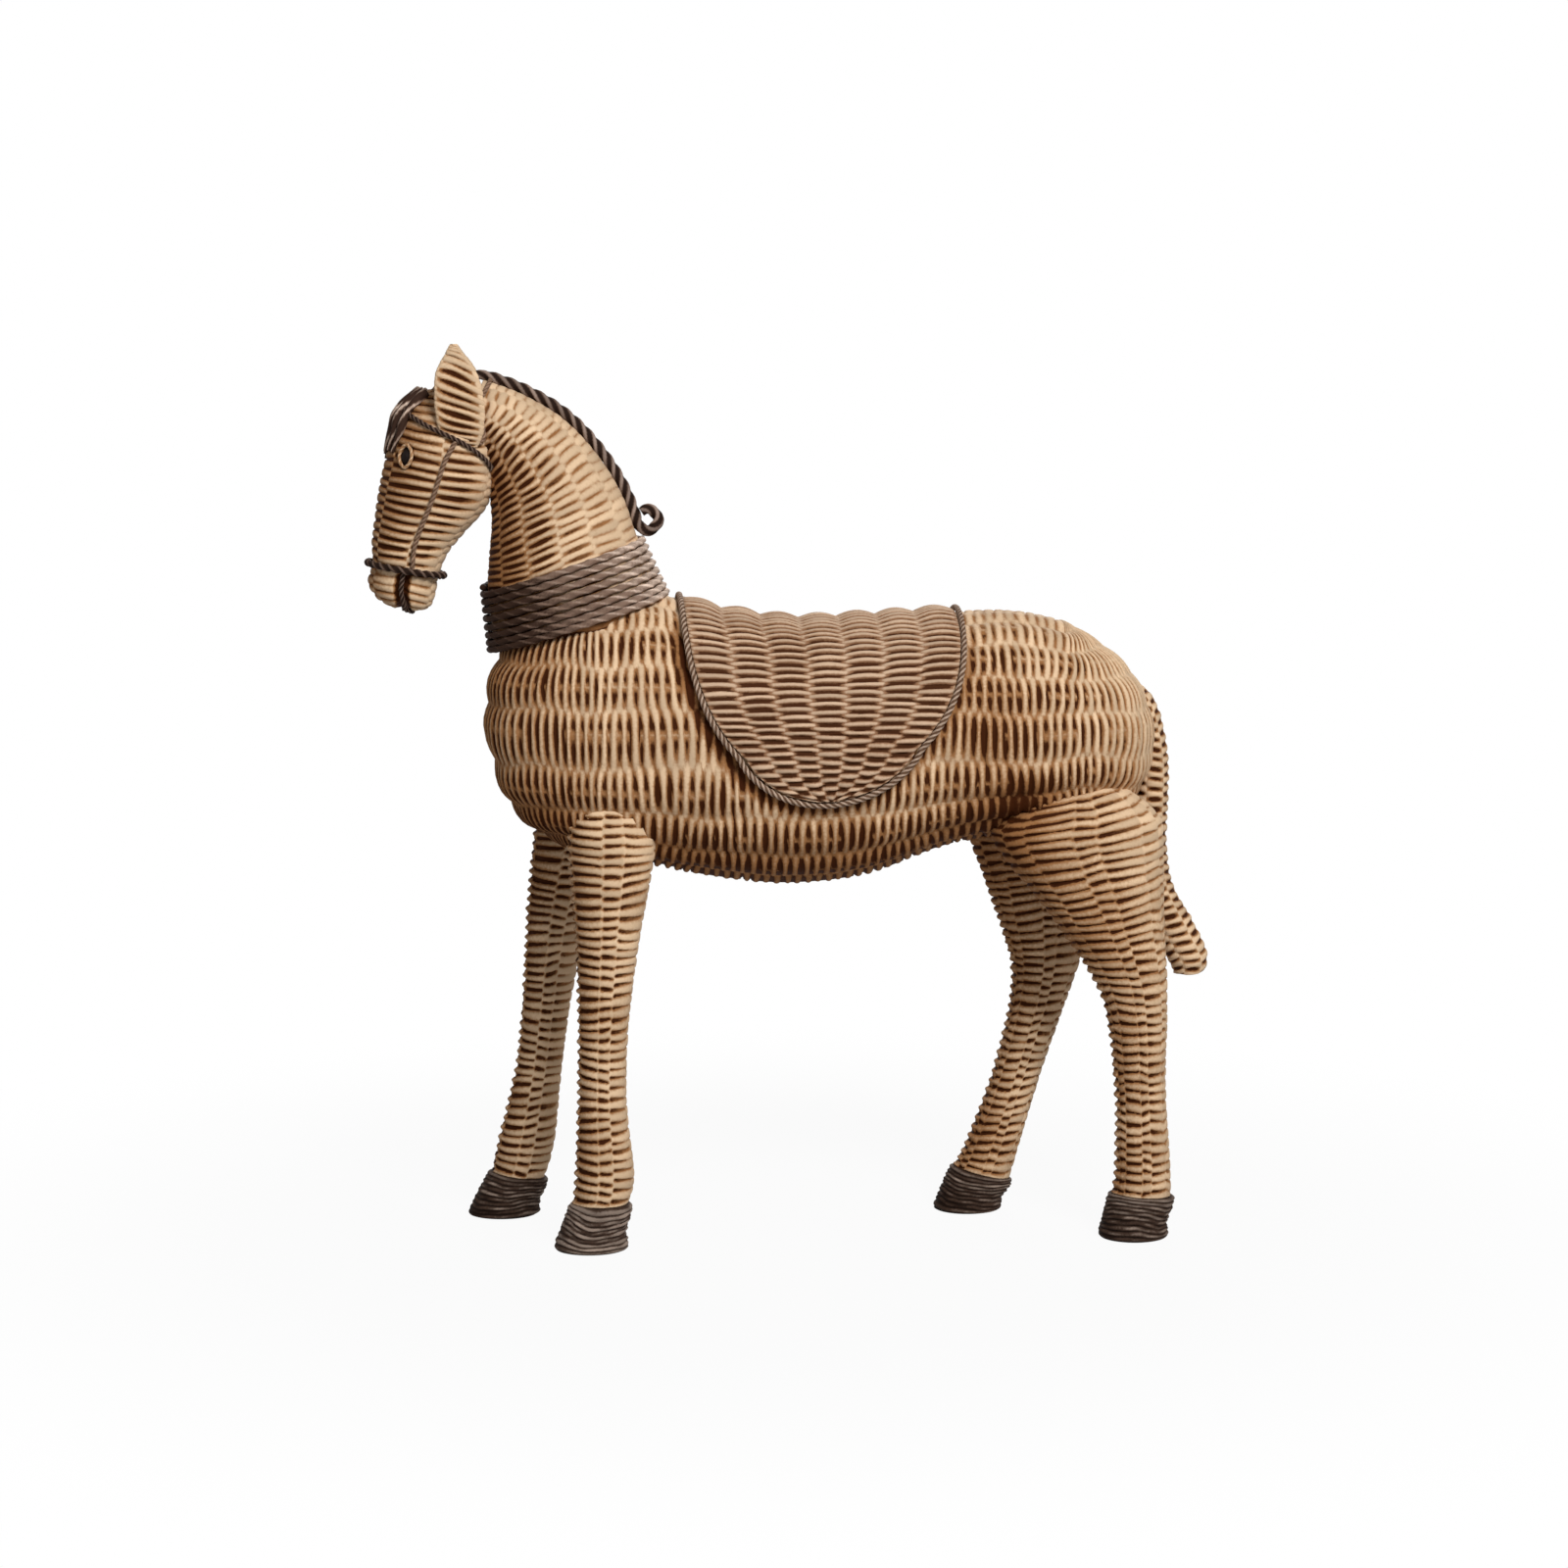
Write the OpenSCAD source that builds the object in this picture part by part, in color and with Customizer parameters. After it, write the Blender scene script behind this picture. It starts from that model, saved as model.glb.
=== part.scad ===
// Standing horse figurine in cane-weave style, cast in resin pieces and pinned together.
// Millimetres. +Z is up, the ground is Z = 0, the head is towards -X and the left side is -Y.
// The origin is on the ground under the middle of the figure.

/* [Figure] */
// Length of the figure from the nose to the tail
figure_length = 328; // [280:1:380]
// Width of the figure across the blanket
figure_width = 97; // [82:1:112]
// Height of the figure to the tips of the ears
figure_height = 344.5; // [295:0.5:400]

/* [Torso] */
// Each torso ring: place along X, centre height, half height, half width
// Tip of the rump
rump_tip = [142, 192, 3, 3]; // [-200:0.5:300]
// Ring just inside the rump tip
rump_end = [139.5, 193, 13, 13]; // [-200:0.5:300]
// Buttock
buttock = [132, 193.5, 26, 25]; // [-200:0.5:300]
// Rump
rump = [120, 196, 34, 34]; // [-200:0.5:300]
// Croup
croup = [103, 198.5, 40.5, 40]; // [-200:0.5:300]
// Loin
loin = [82, 199, 43.5, 43]; // [-200:0.5:300]
// Flank
flank = [57, 196, 45.5, 44]; // [-200:0.5:300]
// Back of the barrel
barrel_rear = [28, 190, 49.8, 45]; // [-200:0.5:300]
// Barrel
barrel = [-2, 188, 51, 45.5]; // [-200:0.5:300]
// Girth, behind the front legs
girth = [-30, 191.5, 51.8, 45]; // [-200:0.5:300]
// Withers
withers = [-55, 197.5, 53, 43.5]; // [-200:0.5:300]
// Shoulder
shoulder = [-79, 199.5, 51, 41]; // [-200:0.5:300]
// Chest
chest = [-99, 200, 42.5, 34.5]; // [-200:0.5:300]
// Breast
breast = [-111, 201, 31, 25]; // [-200:0.5:300]
// Ring just inside the breast tip
breast_end = [-117, 202.5, 16, 14]; // [-200:0.5:300]
// Tip of the breast
breast_tip = [-119.3, 203, 4, 4]; // [-200:0.5:300]
// Squareness of the torso's cross-section along the back, where 2 is an ellipse
back_fullness = 2; // [1.8:0.1:3]
// Squareness of the torso's cross-section along the belly
belly_fullness = 2.6; // [2:0.1:3.4]
// Number of bands that swell along the torso, between the lines where its strands cross
band_count = 18; // [12:2:24]
// Depth of the lines between the bands
band_depth = 1.4; // [0:0.1:3]

/* [Neck] */
// Each neck ring: place along X, height, half depth, half width
// Root of the neck, inside the torso
neck_root = [-79, 229, 37, 31]; // [-200:0.5:400]
// Lower edge of the cord wrap
neck_base = [-82, 238.5, 34.5, 28]; // [-200:0.5:400]
// Upper edge of the cord wrap
neck_low = [-88, 260.5, 30.8, 24.5]; // [-200:0.5:400]
// Middle of the neck
neck_mid = [-91, 276.5, 28.2, 22]; // [-200:0.5:400]
// Upper part of the neck
neck_high = [-95.5, 291, 24, 20]; // [-200:0.5:400]
// Throat
neck_throat = [-102.5, 304, 19.5, 17.5]; // [-200:0.5:400]
// Nape, behind the ears
neck_nape = [-112, 314.5, 14.5, 14]; // [-200:0.5:400]
// End of the neck, inside the head
neck_end = [-123, 320, 12.5, 9]; // [-200:0.5:400]
// Tilt of the neck rings from the root to the wrap's upper edge, in degrees
neck_tilt_low = [17, 17, 18, 25]; // [0:1:90]
// Tilt of the neck rings from the upper part to the end, in degrees
neck_tilt_high = [33, 42, 53, 65]; // [0:1:90]

/* [Head] */
// Each head ring: place along X, height, half depth, half width
// Tip of the muzzle
muzzle_tip = [-149, 243.4, 3, 3]; // [-250:0.5:400]
// Lips
lips = [-149.2, 246, 10, 9]; // [-250:0.5:400]
// Nostrils
nostrils = [-149.6, 252, 13.2, 12]; // [-250:0.5:400]
// Under the noseband
nose = [-148, 259.5, 13, 12.4]; // [-250:0.5:400]
// Bridge of the nose
nose_bridge = [-146.4, 267.5, 14.8, 13.4]; // [-250:0.5:400]
// Front of the cheek
cheek_front = [-142.8, 275.5, 17.3, 15.2]; // [-250:0.5:400]
// Cheek
cheek = [-137.8, 285.5, 20.8, 17.8]; // [-250:0.5:400]
// Jaw and eye level
jaw = [-134.6, 296, 21.6, 19]; // [-250:0.5:400]
// Brow
brow = [-133, 307, 20.2, 18]; // [-250:0.5:400]
// Forehead
forehead = [-131.5, 318.5, 16.6, 14.5]; // [-250:0.5:400]
// Top of the poll
poll = [-129.5, 328.5, 6, 6]; // [-250:0.5:400]
// Tilt of the head rings, in degrees
head_tilt = -10; // [-40:1:20]

/* [Ears] */
// Foot of the ear, inside the head: place along X, distance from the middle, height
ear_foot = [-126, 11.5, 306]; // [-200:0.5:400]
// Widest part of the ear
ear_middle = [-127, 16, 324]; // [-200:0.5:400]
// Tip of the ear
ear_tip = [-129, 17.5, 344.5]; // [-200:0.5:400]
// Half length of the ear along X at its widest
ear_half_length = 10; // [5:0.5:16]
// Half thickness of the ear
ear_half_thickness = 4; // [2:0.25:8]
// How far the ear's edges curl outwards
ear_cup = 3; // [0:0.25:6]

/* [Front legs] */
// Each leg point: X, Y, Z of the middle of the leg. A coronet has its tilt in degrees after them
// Left coronet, where the hoof begins
front_left_coronet = [-75.8, -31, 18, 0]; // [-200:0.5:300]
// Left fetlock
front_left_fetlock = [-74.2, -31, 29]; // [-200:0.5:300]
// Left cannon
front_left_cannon = [-75, -30.7, 58]; // [-200:0.5:300]
// Left knee
front_left_knee = [-74.3, -30, 88]; // [-200:0.5:300]
// Left forearm
front_left_forearm = [-72.4, -29, 122]; // [-200:0.5:300]
// Left elbow
front_left_elbow = [-70.8, -27.5, 153]; // [-200:0.5:300]
// Right coronet
front_right_coronet = [-106.6, 31, 16, -8]; // [-200:0.5:300]
// Right fetlock
front_right_fetlock = [-103.4, 31, 29]; // [-200:0.5:300]
// Right cannon
front_right_cannon = [-98.4, 30.7, 58]; // [-200:0.5:300]
// Right knee
front_right_knee = [-94.6, 30, 88]; // [-200:0.5:300]
// Right forearm
front_right_forearm = [-90, 29, 122]; // [-200:0.5:300]
// Right elbow
front_right_elbow = [-83, 27.5, 153]; // [-200:0.5:300]
// Each leg section: half depth along X, half width along Y
// Section at the coronet
front_coronet_section = [10.6, 10.6]; // [4:0.2:40]
// Section at the fetlock
front_fetlock_section = [11.3, 10.8]; // [4:0.2:40]
// Section at the cannon
front_cannon_section = [9.4, 9.2]; // [4:0.2:40]
// Section at the knee
front_knee_section = [9.8, 9.4]; // [4:0.2:40]
// Section at the forearm
front_forearm_section = [12.6, 11.4]; // [4:0.2:40]
// Section at the elbow
front_elbow_section = [16.6, 14]; // [4:0.2:40]
// Height of the leg's crown above the elbow
front_crown_rise = 25; // [12:0.5:40]

/* [Hind legs] */
// Left coronet, where the hoof begins
hind_left_coronet = [134.3, -27, 17, -3]; // [-200:0.5:300]
// Left fetlock
hind_left_fetlock = [134.6, -27, 29]; // [-200:0.5:300]
// Left cannon
hind_left_cannon = [133.3, -27, 60]; // [-200:0.5:300]
// Left hock
hind_left_hock = [130.5, -27.5, 95]; // [-200:0.5:300]
// Left gaskin
hind_left_gaskin = [120.6, -26.5, 124]; // [-200:0.5:300]
// Left stifle
hind_left_stifle = [109, -23, 154]; // [-200:0.5:300]
// Right coronet
hind_right_coronet = [78.6, 25.5, 15, -14]; // [-200:0.5:300]
// Right fetlock
hind_right_fetlock = [83.8, 25.5, 29]; // [-200:0.5:300]
// Right cannon
hind_right_cannon = [94, 26, 60]; // [-200:0.5:300]
// Right hock
hind_right_hock = [103.2, 26.5, 95]; // [-200:0.5:300]
// Right gaskin
hind_right_gaskin = [103.4, 26, 124]; // [-200:0.5:300]
// Right stifle
hind_right_stifle = [104, 23, 154]; // [-200:0.5:300]
// Section at the coronet
hind_coronet_section = [11.4, 10.8]; // [4:0.2:40]
// Section at the fetlock
hind_fetlock_section = [10.8, 10.4]; // [4:0.2:40]
// Section at the cannon
hind_cannon_section = [10, 9.4]; // [4:0.2:40]
// Section at the hock
hind_hock_section = [13, 11]; // [4:0.2:40]
// Section at the gaskin
hind_gaskin_section = [21.5, 14.5]; // [4:0.2:40]
// Section at the stifle
hind_stifle_section = [33, 20]; // [4:0.2:40]
// Height of the leg's crown above the stifle
hind_crown_rise = 24; // [12:0.5:40]

/* [Hooves] */
// How far the hoof stands out past the leg at the coronet
hoof_lip = 0.8; // [0.2:0.1:3]
// How far the toe reaches forward past the coronet
hoof_toe = 5.5; // [0:0.5:12]
// How far the heel slopes forward under the coronet
hoof_heel = 2.5; // [0:0.5:8]
// How much wider the sole is than the coronet, on each side
hoof_flare = 1; // [0:0.2:6]
// Number of cord turns that show on a hoof
hoof_turns = 5; // [2:1:8]
// How far each turn bulges
hoof_bulge = 0.7; // [0.2:0.1:2]

/* [Tail] */
// Each tail point: X, Z, half thickness, half width
// Tip of the tail
tail_tip = [160.5, 99.3, 3, 4]; // [-50:0.5:300]
// Brush of the tail
tail_brush = [156.8, 105, 8.4, 9.2]; // [-50:0.5:300]
// Lower part of the tail
tail_low = [150, 117, 8.8, 9.8]; // [-50:0.5:300]
// Bend of the tail
tail_bend = [142.8, 133, 7.6, 9.6]; // [-50:0.5:300]
// Middle of the tail
tail_mid = [140.5, 152, 7, 9.6]; // [-50:0.5:300]
// Upper part of the tail
tail_high = [141, 182, 6.8, 9.4]; // [-50:0.5:300]
// Dock
tail_dock = [138, 205, 6, 8.6]; // [-50:0.5:300]
// Root of the tail, on the croup
tail_root = [132.5, 217.5, 3.5, 5]; // [-50:0.5:300]
// Tilt of the tail rings from the tip to the bend, in degrees
tail_tilt_low = [30, 29, 24, 10]; // [-90:1:90]
// Tilt of the tail rings from the middle to the root, in degrees
tail_tilt_high = [0, 4, 18, 34]; // [-90:1:90]

/* [Saddle blanket] */
// Middle of the blanket along X, on the back
blanket_middle = 10; // [-30:0.5:40]
// Half length of the blanket along the back
blanket_half_length = 52.5; // [30:0.5:70]
// How far down each side the flap reaches, in degrees of the body's girth
blanket_drop_angle = 101; // [60:1:130]
// How far the flap's lowest point lies behind the middle
blanket_sweep = 1.5; // [-10:0.5:10]
// Thickness of the blanket
blanket_thickness = 2.6; // [1:0.1:6]
// Number of columns that swell down the blanket
column_count = 7; // [4:1:10]
// Depth of the lines between the columns
column_depth = 1.4; // [0:0.1:2]
// Diameter of the cord along the blanket's edge
edging_d = 2.4; // [1.5:0.1:6]

/* [Cords] */
// Diameter of the cord wound round the neck
wrap_cord_d = 2.3; // [1:0.1:4]
// Number of turns round the neck
wrap_turns = 7; // [3:1:7]
// Diameter of the mane cord
mane_d = 4.4; // [2:0.1:8]
// Place of the mane cord's first point, counted in neck rings from the root
mane_start_row = 2.3; // [1.5:0.1:3]
// Reach of the mane's free curl behind the neck
mane_curl = 7; // [3:0.5:14]
// Diameter of the bridle cords
bridle_d = 2; // [1:0.1:4]
// Diameter of the noseband
noseband_d = 3; // [1.5:0.1:5]
// Thickness of the forelock at its root
forelock_thickness = 4.6; // [1.5:0.1:8]
// Place of the forelock's root, counted in head rings from the muzzle
forelock_top_row = 9.5; // [8.8:0.05:9.7]
// Place of the forelock's tips, counted in head rings from the muzzle
forelock_foot_row = 7; // [6:0.05:8]
// Diameter of the eyelid cord
eyelid_d = 1.3; // [0.6:0.1:3]

/* [Eyes] */
// Diameter of the eye bead
eye_d = 5; // [3:0.1:8]
// Half height of the eyelid's almond
eyelid_half_height = 3.8; // [1.5:0.1:6]
// Half width of the eyelid's almond
eyelid_half_width = 1.6; // [1:0.1:5]

/* [Pins] */
// Diameter of the steel rods in the legs
leg_rod_d = 4; // [2:0.1:6]
// How far a leg rod reaches past the leg's crown into the torso
leg_rod_reach = 16; // [5:0.5:30]
// Diameter of the neck rod
neck_rod_d = 5; // [2:0.1:8]
// Length of the neck rod
neck_rod_length = 75; // [50:1:85]
// Diameter of the head pin
head_pin_d = 4; // [2:0.1:6]
// Length of the head pin
head_pin_length = 30; // [15:0.5:40]

/* [Fit] */
// Gap between a cord or cloth piece and the casting that it lies on
seat_gap = 0.15; // [0.05:0.05:0.5]
// Radial gap between a pin and its bore
pin_gap = 0.05; // [0.02:0.01:0.2]

/* [Hidden] */

cane = "#b98f63";
cane_shade = "#a67f5c";
cord_brown = "#5d4a3e";
hoof_brown = "#4a3c34";
eye_black = "#1c1210";
steel = "#9a9a9a";

LEFT = -1;
RIGHT = 1;
limb_sides = 14;
neck_sides = 24;
cord_sides = 6;
step = 1 / 3;
half_step = 1 / 2;

// The rings, points and lengths above are drawn for a figure of this size, and stretch with it.
drawn_length = 328;
drawn_width = 97;
drawn_height = 344.5;
stretch = [figure_length / drawn_length, figure_width / drawn_width, figure_height / drawn_height];
function stretched(point) = [point[0] * stretch[0], point[1] * stretch[1], point[2] * stretch[2]];

// Rings of each form, as rows of X, Y, Z, half depth, half width and tilt.
// A row's half depth lies along the tilt in the XZ plane, and its half width along Y.
function tilted_stretch(tilt) = norm([cos(tilt) * stretch[0], sin(tilt) * stretch[2]]);
function row(point, section, tilt) =
    concat(stretched(point), [section[0] * tilted_stretch(tilt), section[1] * stretch[1], tilt]);
function tilted(ring, tilt) = row([ring[0], 0, ring[1]], [ring[2], ring[3]], tilt);

torso_rows = [for (ring = [
    rump_tip, rump_end, buttock, rump, croup, loin, flank, barrel_rear, barrel,
    girth, withers, shoulder, chest, breast, breast_end, breast_tip
]) tilted(ring, 90)];

neck_rings = [neck_root, neck_base, neck_low, neck_mid, neck_high, neck_throat, neck_nape, neck_end];
neck_tilts = concat(neck_tilt_low, neck_tilt_high);
neck_rows = [for (i = [0 : len(neck_rings) - 1]) tilted(neck_rings[i], neck_tilts[i])];

head_rows = [for (ring = [
    muzzle_tip, lips, nostrils, nose, nose_bridge, cheek_front, cheek, jaw, brow, forehead, poll
]) tilted(ring, head_tilt)];

tail_rings = [tail_tip, tail_brush, tail_low, tail_bend, tail_mid, tail_high, tail_dock, tail_root];
tail_tilts = concat(tail_tilt_low, tail_tilt_high);
tail_rows = [for (i = [0 : len(tail_rings) - 1]) tilted(tail_rings[i], tail_tilts[i])];

// A leg ends in a rounded crown inside the torso, which leans towards the middle.
crown_round = [0.45, 0.88, 1];
crown_share = [0.94, 0.55, 0.15];
crown_lean = 0.12;
function leg_rows(points, sections, rise) =
    let (top = points[len(points) - 1], wide = sections[len(sections) - 1])
    concat(
        [for (i = [0 : len(points) - 1]) row(points[i], sections[i], i == 0 ? points[0][3] : 0)],
        [for (i = [0 : len(crown_round) - 1]) row(
            [top[0], top[1] * (1 - crown_lean * crown_round[i]), top[2] + rise * crown_round[i]],
            wide * crown_share[i],
            0
        )]
    );

front_sections = [
    front_coronet_section, front_fetlock_section, front_cannon_section,
    front_knee_section, front_forearm_section, front_elbow_section
];
hind_sections = [
    hind_coronet_section, hind_fetlock_section, hind_cannon_section,
    hind_hock_section, hind_gaskin_section, hind_stifle_section
];
front_left_rows = leg_rows([
    front_left_coronet, front_left_fetlock, front_left_cannon,
    front_left_knee, front_left_forearm, front_left_elbow
], front_sections, front_crown_rise);
front_right_rows = leg_rows([
    front_right_coronet, front_right_fetlock, front_right_cannon,
    front_right_knee, front_right_forearm, front_right_elbow
], front_sections, front_crown_rise);
hind_left_rows = leg_rows([
    hind_left_coronet, hind_left_fetlock, hind_left_cannon,
    hind_left_hock, hind_left_gaskin, hind_left_stifle
], hind_sections, hind_crown_rise);
hind_right_rows = leg_rows([
    hind_right_coronet, hind_right_fetlock, hind_right_cannon,
    hind_right_hock, hind_right_gaskin, hind_right_stifle
], hind_sections, hind_crown_rise);
leg_forms = [front_left_rows, front_right_rows, hind_left_rows, hind_right_rows];

// Smooth curve through rows of numbers, at place t counted in rows.
function smooth(rows, t) =
    let (
        last = len(rows) - 1,
        i = min(last - 1, max(0, floor(t))),
        f = t - i,
        a = rows[max(0, i - 1)],
        b = rows[i],
        c = rows[i + 1],
        d = rows[min(last, i + 2)]
    )
    b + 0.5 * f * (c - a + f * (2 * a - 5 * b + 4 * c - d + f * (3 * (b - c) + d - a)));

// Cosine and sine of a rounded-square outline, where a fullness of 2 is an ellipse.
function full(v, fullness) = sign(v) * pow(abs(v), 2 / fullness);

// Point of a row's ring at angle q, counted from the tilt direction towards +Y.
// The fullness has one value for the ring's half towards the tilt and one for its other half.
round_both = [2, 2];
function ring_point(row, q, fullness = round_both) =
    let (
        power = cos(q) > 0 ? fullness[0] : fullness[1],
        depth = row[3] * full(cos(q), power),
        width = row[4] * full(sin(q), power)
    )
    [row[0] + depth * cos(row[5]), row[1] + width, row[2] + depth * sin(row[5])];

function unit(v) = v / norm(v);

// Point and outward direction on a form's skin, lifted off it by a distance.
near_turn = 1;
near_row = 0.02;
function skin(rows, t, q, lift, fullness = round_both) =
    let (
        ring = smooth(rows, t),
        p = ring_point(ring, q, fullness),
        around = ring_point(ring, q + near_turn, fullness) - ring_point(ring, q - near_turn, fullness),
        along = ring_point(smooth(rows, t + near_row), q, fullness)
            - ring_point(smooth(rows, t - near_row), q, fullness),
        out = unit(cross(around, along))
    )
    [p + lift * out, out];

// Place along a form, in rows, where its X reaches a value. X falls along the torso's rows.
function row_at_x(rows, x, low = 0, high = undef, turns = 14) =
    let (top = is_undef(high) ? len(rows) - 1 : high, mid = (low + top) / 2)
    turns == 0 ? mid
    : smooth(rows, mid)[0] > x ? row_at_x(rows, x, mid, top, turns - 1)
    : row_at_x(rows, x, low, mid, turns - 1);

// Solid through a list of rings with as many points each. A closed solid joins its last ring to its first.
module through_rings(rings, closed = false) {
    count = len(rings);
    sides = len(rings[0]);
    spans = closed ? count : count - 1;
    walls = [for (k = [0 : spans - 1], j = [0 : sides - 1])
        let (
            a = k * sides + j,
            b = k * sides + (j + 1) % sides,
            c = ((k + 1) % count) * sides + (j + 1) % sides,
            d = ((k + 1) % count) * sides + j
        )
        each [[a, d, c], [a, c, b]]];
    caps = closed ? [] : [
        [for (j = [0 : sides - 1]) j],
        [for (j = [sides - 1 : -1 : 0]) (count - 1) * sides + j]
    ];
    polyhedron([for (ring = rings) each ring], concat(walls, caps), convexity = 6);
}

// Solid of a form through its rows, with so many rows from ring to ring.
module form(rows, sides, rise = step) {
    through_rings([for (k = [0 : round((len(rows) - 1) / rise)])
        [for (j = [0 : sides - 1])
            ring_point(smooth(rows, k * rise), 360 * j / sides)]]);
}

// Round cord along a list of points with outward directions, of one radius or one for each point.
module cord(path, radius, closed = false) {
    last = len(path) - 1;
    through_rings([for (i = [0 : last])
        let (
            before = path[closed ? (i + last) % (last + 1) : max(0, i - 1)][0],
            after = path[closed ? (i + 1) % (last + 1) : min(last, i + 1)][0],
            ahead = unit(after - before),
            side = unit(cross(ahead, path[i][1])),
            up = cross(side, ahead),
            r = is_list(radius) ? radius[i] : radius
        )
        [for (j = [0 : cord_sides - 1])
            path[i][0] + r * (cos(360 * j / cord_sides) * up + sin(360 * j / cord_sides) * side)]
    ], closed);
}

// Straight round bar between two points.
module bar(from, to, d) {
    way = to - from;
    translate(from)
        rotate([0, acos(way[2] / norm(way)), atan2(way[1], way[0])])
            cylinder(h = norm(way), d = d, $fn = 32);
}

// Torso

torso_fullness = [back_fullness, belly_fullness];

// The bands have their full depth where the torso is at least this half height, and fade towards its tips.
band_full_half_height = 30;
band_points = 3;
torso_sides = band_points * band_count;
// Places of the torso's rings, counted in rows, closer together along the barrel than at the tips
torso_last = len(torso_rows) - 1;
barrel_first = 3;
barrel_last = 12;
torso_places = concat(
    [for (t = [0 : barrel_first - 1]) t],
    [for (t = [barrel_first : half_step : barrel_last]) t],
    [for (t = [barrel_last + 1 : torso_last]) t]
);

function torso_point(ring, q) =
    let (
        fade = min(1, ring[3] / band_full_half_height),
        dip = band_depth * fade * (1 - abs(sin(q * band_count / 2)))
    )
    ring_point([ring[0], ring[1], ring[2], ring[3] - dip, ring[4] - dip, ring[5]], q, torso_fullness);

// Solid of the torso between two places counted in rows.
module torso_form(first = 0, last = torso_last) {
    through_rings([for (t = torso_places)
        if (t >= first && t <= last)
            let (ring = smooth(torso_rows, t))
            [for (j = [0 : torso_sides - 1]) torso_point(ring, 360 * j / torso_sides)]]);
}

// Place on the torso as it would be without its bands, and the direction out of it.
function torso_skin(x, q, lift) = skin(torso_rows, row_at_x(torso_rows, x), q, lift, torso_fullness);

// The stretch of torso that a leg or the neck meets, for cutting them to it.
front_reach = [9, torso_last];
hind_reach = [0, 7];

module torso() {
    color(cane)
    difference() {
        torso_form();
        leg_bores();
        neck_bore();
    }
}

// Pins and their bores. The rod of a leg runs from its forearm or gaskin to a point past its crown.

leg_rod_foot = 3.5;
function leg_rod_ends(rows) =
    let (
        foot = smooth(rows, leg_rod_foot),
        crown = rows[len(rows) - 1],
        from = [foot[0], foot[1], foot[2]],
        to = [crown[0], crown[1], crown[2]]
    )
    [from, to + leg_rod_reach * unit(to - from)];

module leg_rods() {
    color(steel)
    for (rows = leg_forms)
        bar(leg_rod_ends(rows)[0], leg_rod_ends(rows)[1], leg_rod_d);
}

module leg_bores() {
    for (rows = leg_forms)
        bar(leg_rod_ends(rows)[0], leg_rod_ends(rows)[1], leg_rod_d + 2 * pin_gap);
}

neck_rod_top = stretched([neck_mid[0], 0, neck_mid[1]]);
neck_rod_way = unit(stretched([neck_root[0], 0, neck_root[1]]) - neck_rod_top);
neck_rod_foot = neck_rod_top + neck_rod_length * neck_rod_way;

module neck_rod() {
    color(steel)
    bar(neck_rod_foot, neck_rod_top, neck_rod_d);
}

module neck_bore() {
    bar(neck_rod_foot, neck_rod_top, neck_rod_d + 2 * pin_gap);
}

head_pin_ahead = 1;
head_pin_from = stretched([neck_throat[0] - head_pin_ahead, 0, neck_throat[1]]);
head_pin_to = head_pin_from + head_pin_length * unit(stretched([jaw[0], 0, jaw[1]]) - head_pin_from);

module head_pin() {
    color(steel)
    bar(head_pin_from, head_pin_to, head_pin_d);
}

module head_bore() {
    bar(head_pin_from, head_pin_to, head_pin_d + 2 * pin_gap);
}

// Neck and head

module head_form() {
    form(head_rows, neck_sides, half_step);
}

module neck_form() {
    form(neck_rows, neck_sides);
}

module neck() {
    color(cane)
    difference() {
        neck_form();
        torso_form(front_reach[0], front_reach[1]);
        head_form();
        neck_bore();
        head_bore();
    }
}

module head() {
    color(cane)
    difference() {
        head_form();
        head_bore();
        eye_bead(LEFT, eye_d / 2 + pin_gap);
        eye_bead(RIGHT, eye_d / 2 + pin_gap);
        mouth_cord_form(bridle_d + 2 * seat_gap);
    }
}

eye_place = [7.4, 130];
eye_sink = -1.2;
eyelid_rings = 18;
function eye_centre(side) = skin(head_rows, eye_place[0], side * eye_place[1], eye_sink)[0];

module eye_bead(side, radius) {
    translate(eye_centre(side)) sphere(r = radius, $fn = 32);
}

module eye(side) {
    color(eye_black)
    eye_bead(side, eye_d / 2);
}

// An almond-shaped ring of cord round the eye, lying on the head.
module eyelid(side) {
    out = skin(head_rows, eye_place[0], side * eye_place[1], 0)[1];
    flat = unit([out[1], -out[0], 0]);
    tall = cross(out, flat);
    middle = eye_centre(side) + (eyelid_d / 2 + seat_gap - eye_sink) * out;
    path = [for (k = [0 : eyelid_rings - 1])
        let (a = 360 * k / eyelid_rings)
        [middle + (eyelid_half_width + eye_d / 4) * cos(a) * flat + eyelid_half_height * sin(a) * tall, out]];
    color(cane)
    difference() {
        cord(path, eyelid_d / 2, closed = true);
        eye_bead(side, eye_d / 2 + pin_gap);
    }
}

// An ear is a leaf whose edges curl outwards.
ear_rise = [0, 0.22, 0.47, 0.72, 0.9, 1];
ear_width = [0.62, 0.9, 1, 0.8, 0.46, 0.1];
ear_thick = [0.9, 1, 1, 0.9, 0.7, 0.25];
module ear_form(side) {
    places = [ear_foot, ear_middle, ear_tip];
    rings = [for (t = [0 : half_step : len(ear_rise) - 1])
        let (
            share = smooth([for (r = ear_rise) [r]], t)[0],
            p = smooth(places, (len(places) - 1) * share),
            half = ear_half_length * smooth([for (w = ear_width) [w]], t)[0],
            thick = ear_half_thickness * smooth([for (w = ear_thick) [w]], t)[0],
            curl = ear_cup * half / ear_half_length
        )
        [for (j = [0 : limb_sides - 1])
            let (q = 360 * j / limb_sides)
            stretched([p[0] + half * cos(q), side * (p[1] + curl * pow(cos(q), 2)) + thick * sin(q), p[2]])]];
    through_rings(rings);
}

module ear(side) {
    color(cane)
    difference() {
        ear_form(side);
        head_form();
    }
}

// Legs and hooves

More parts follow.
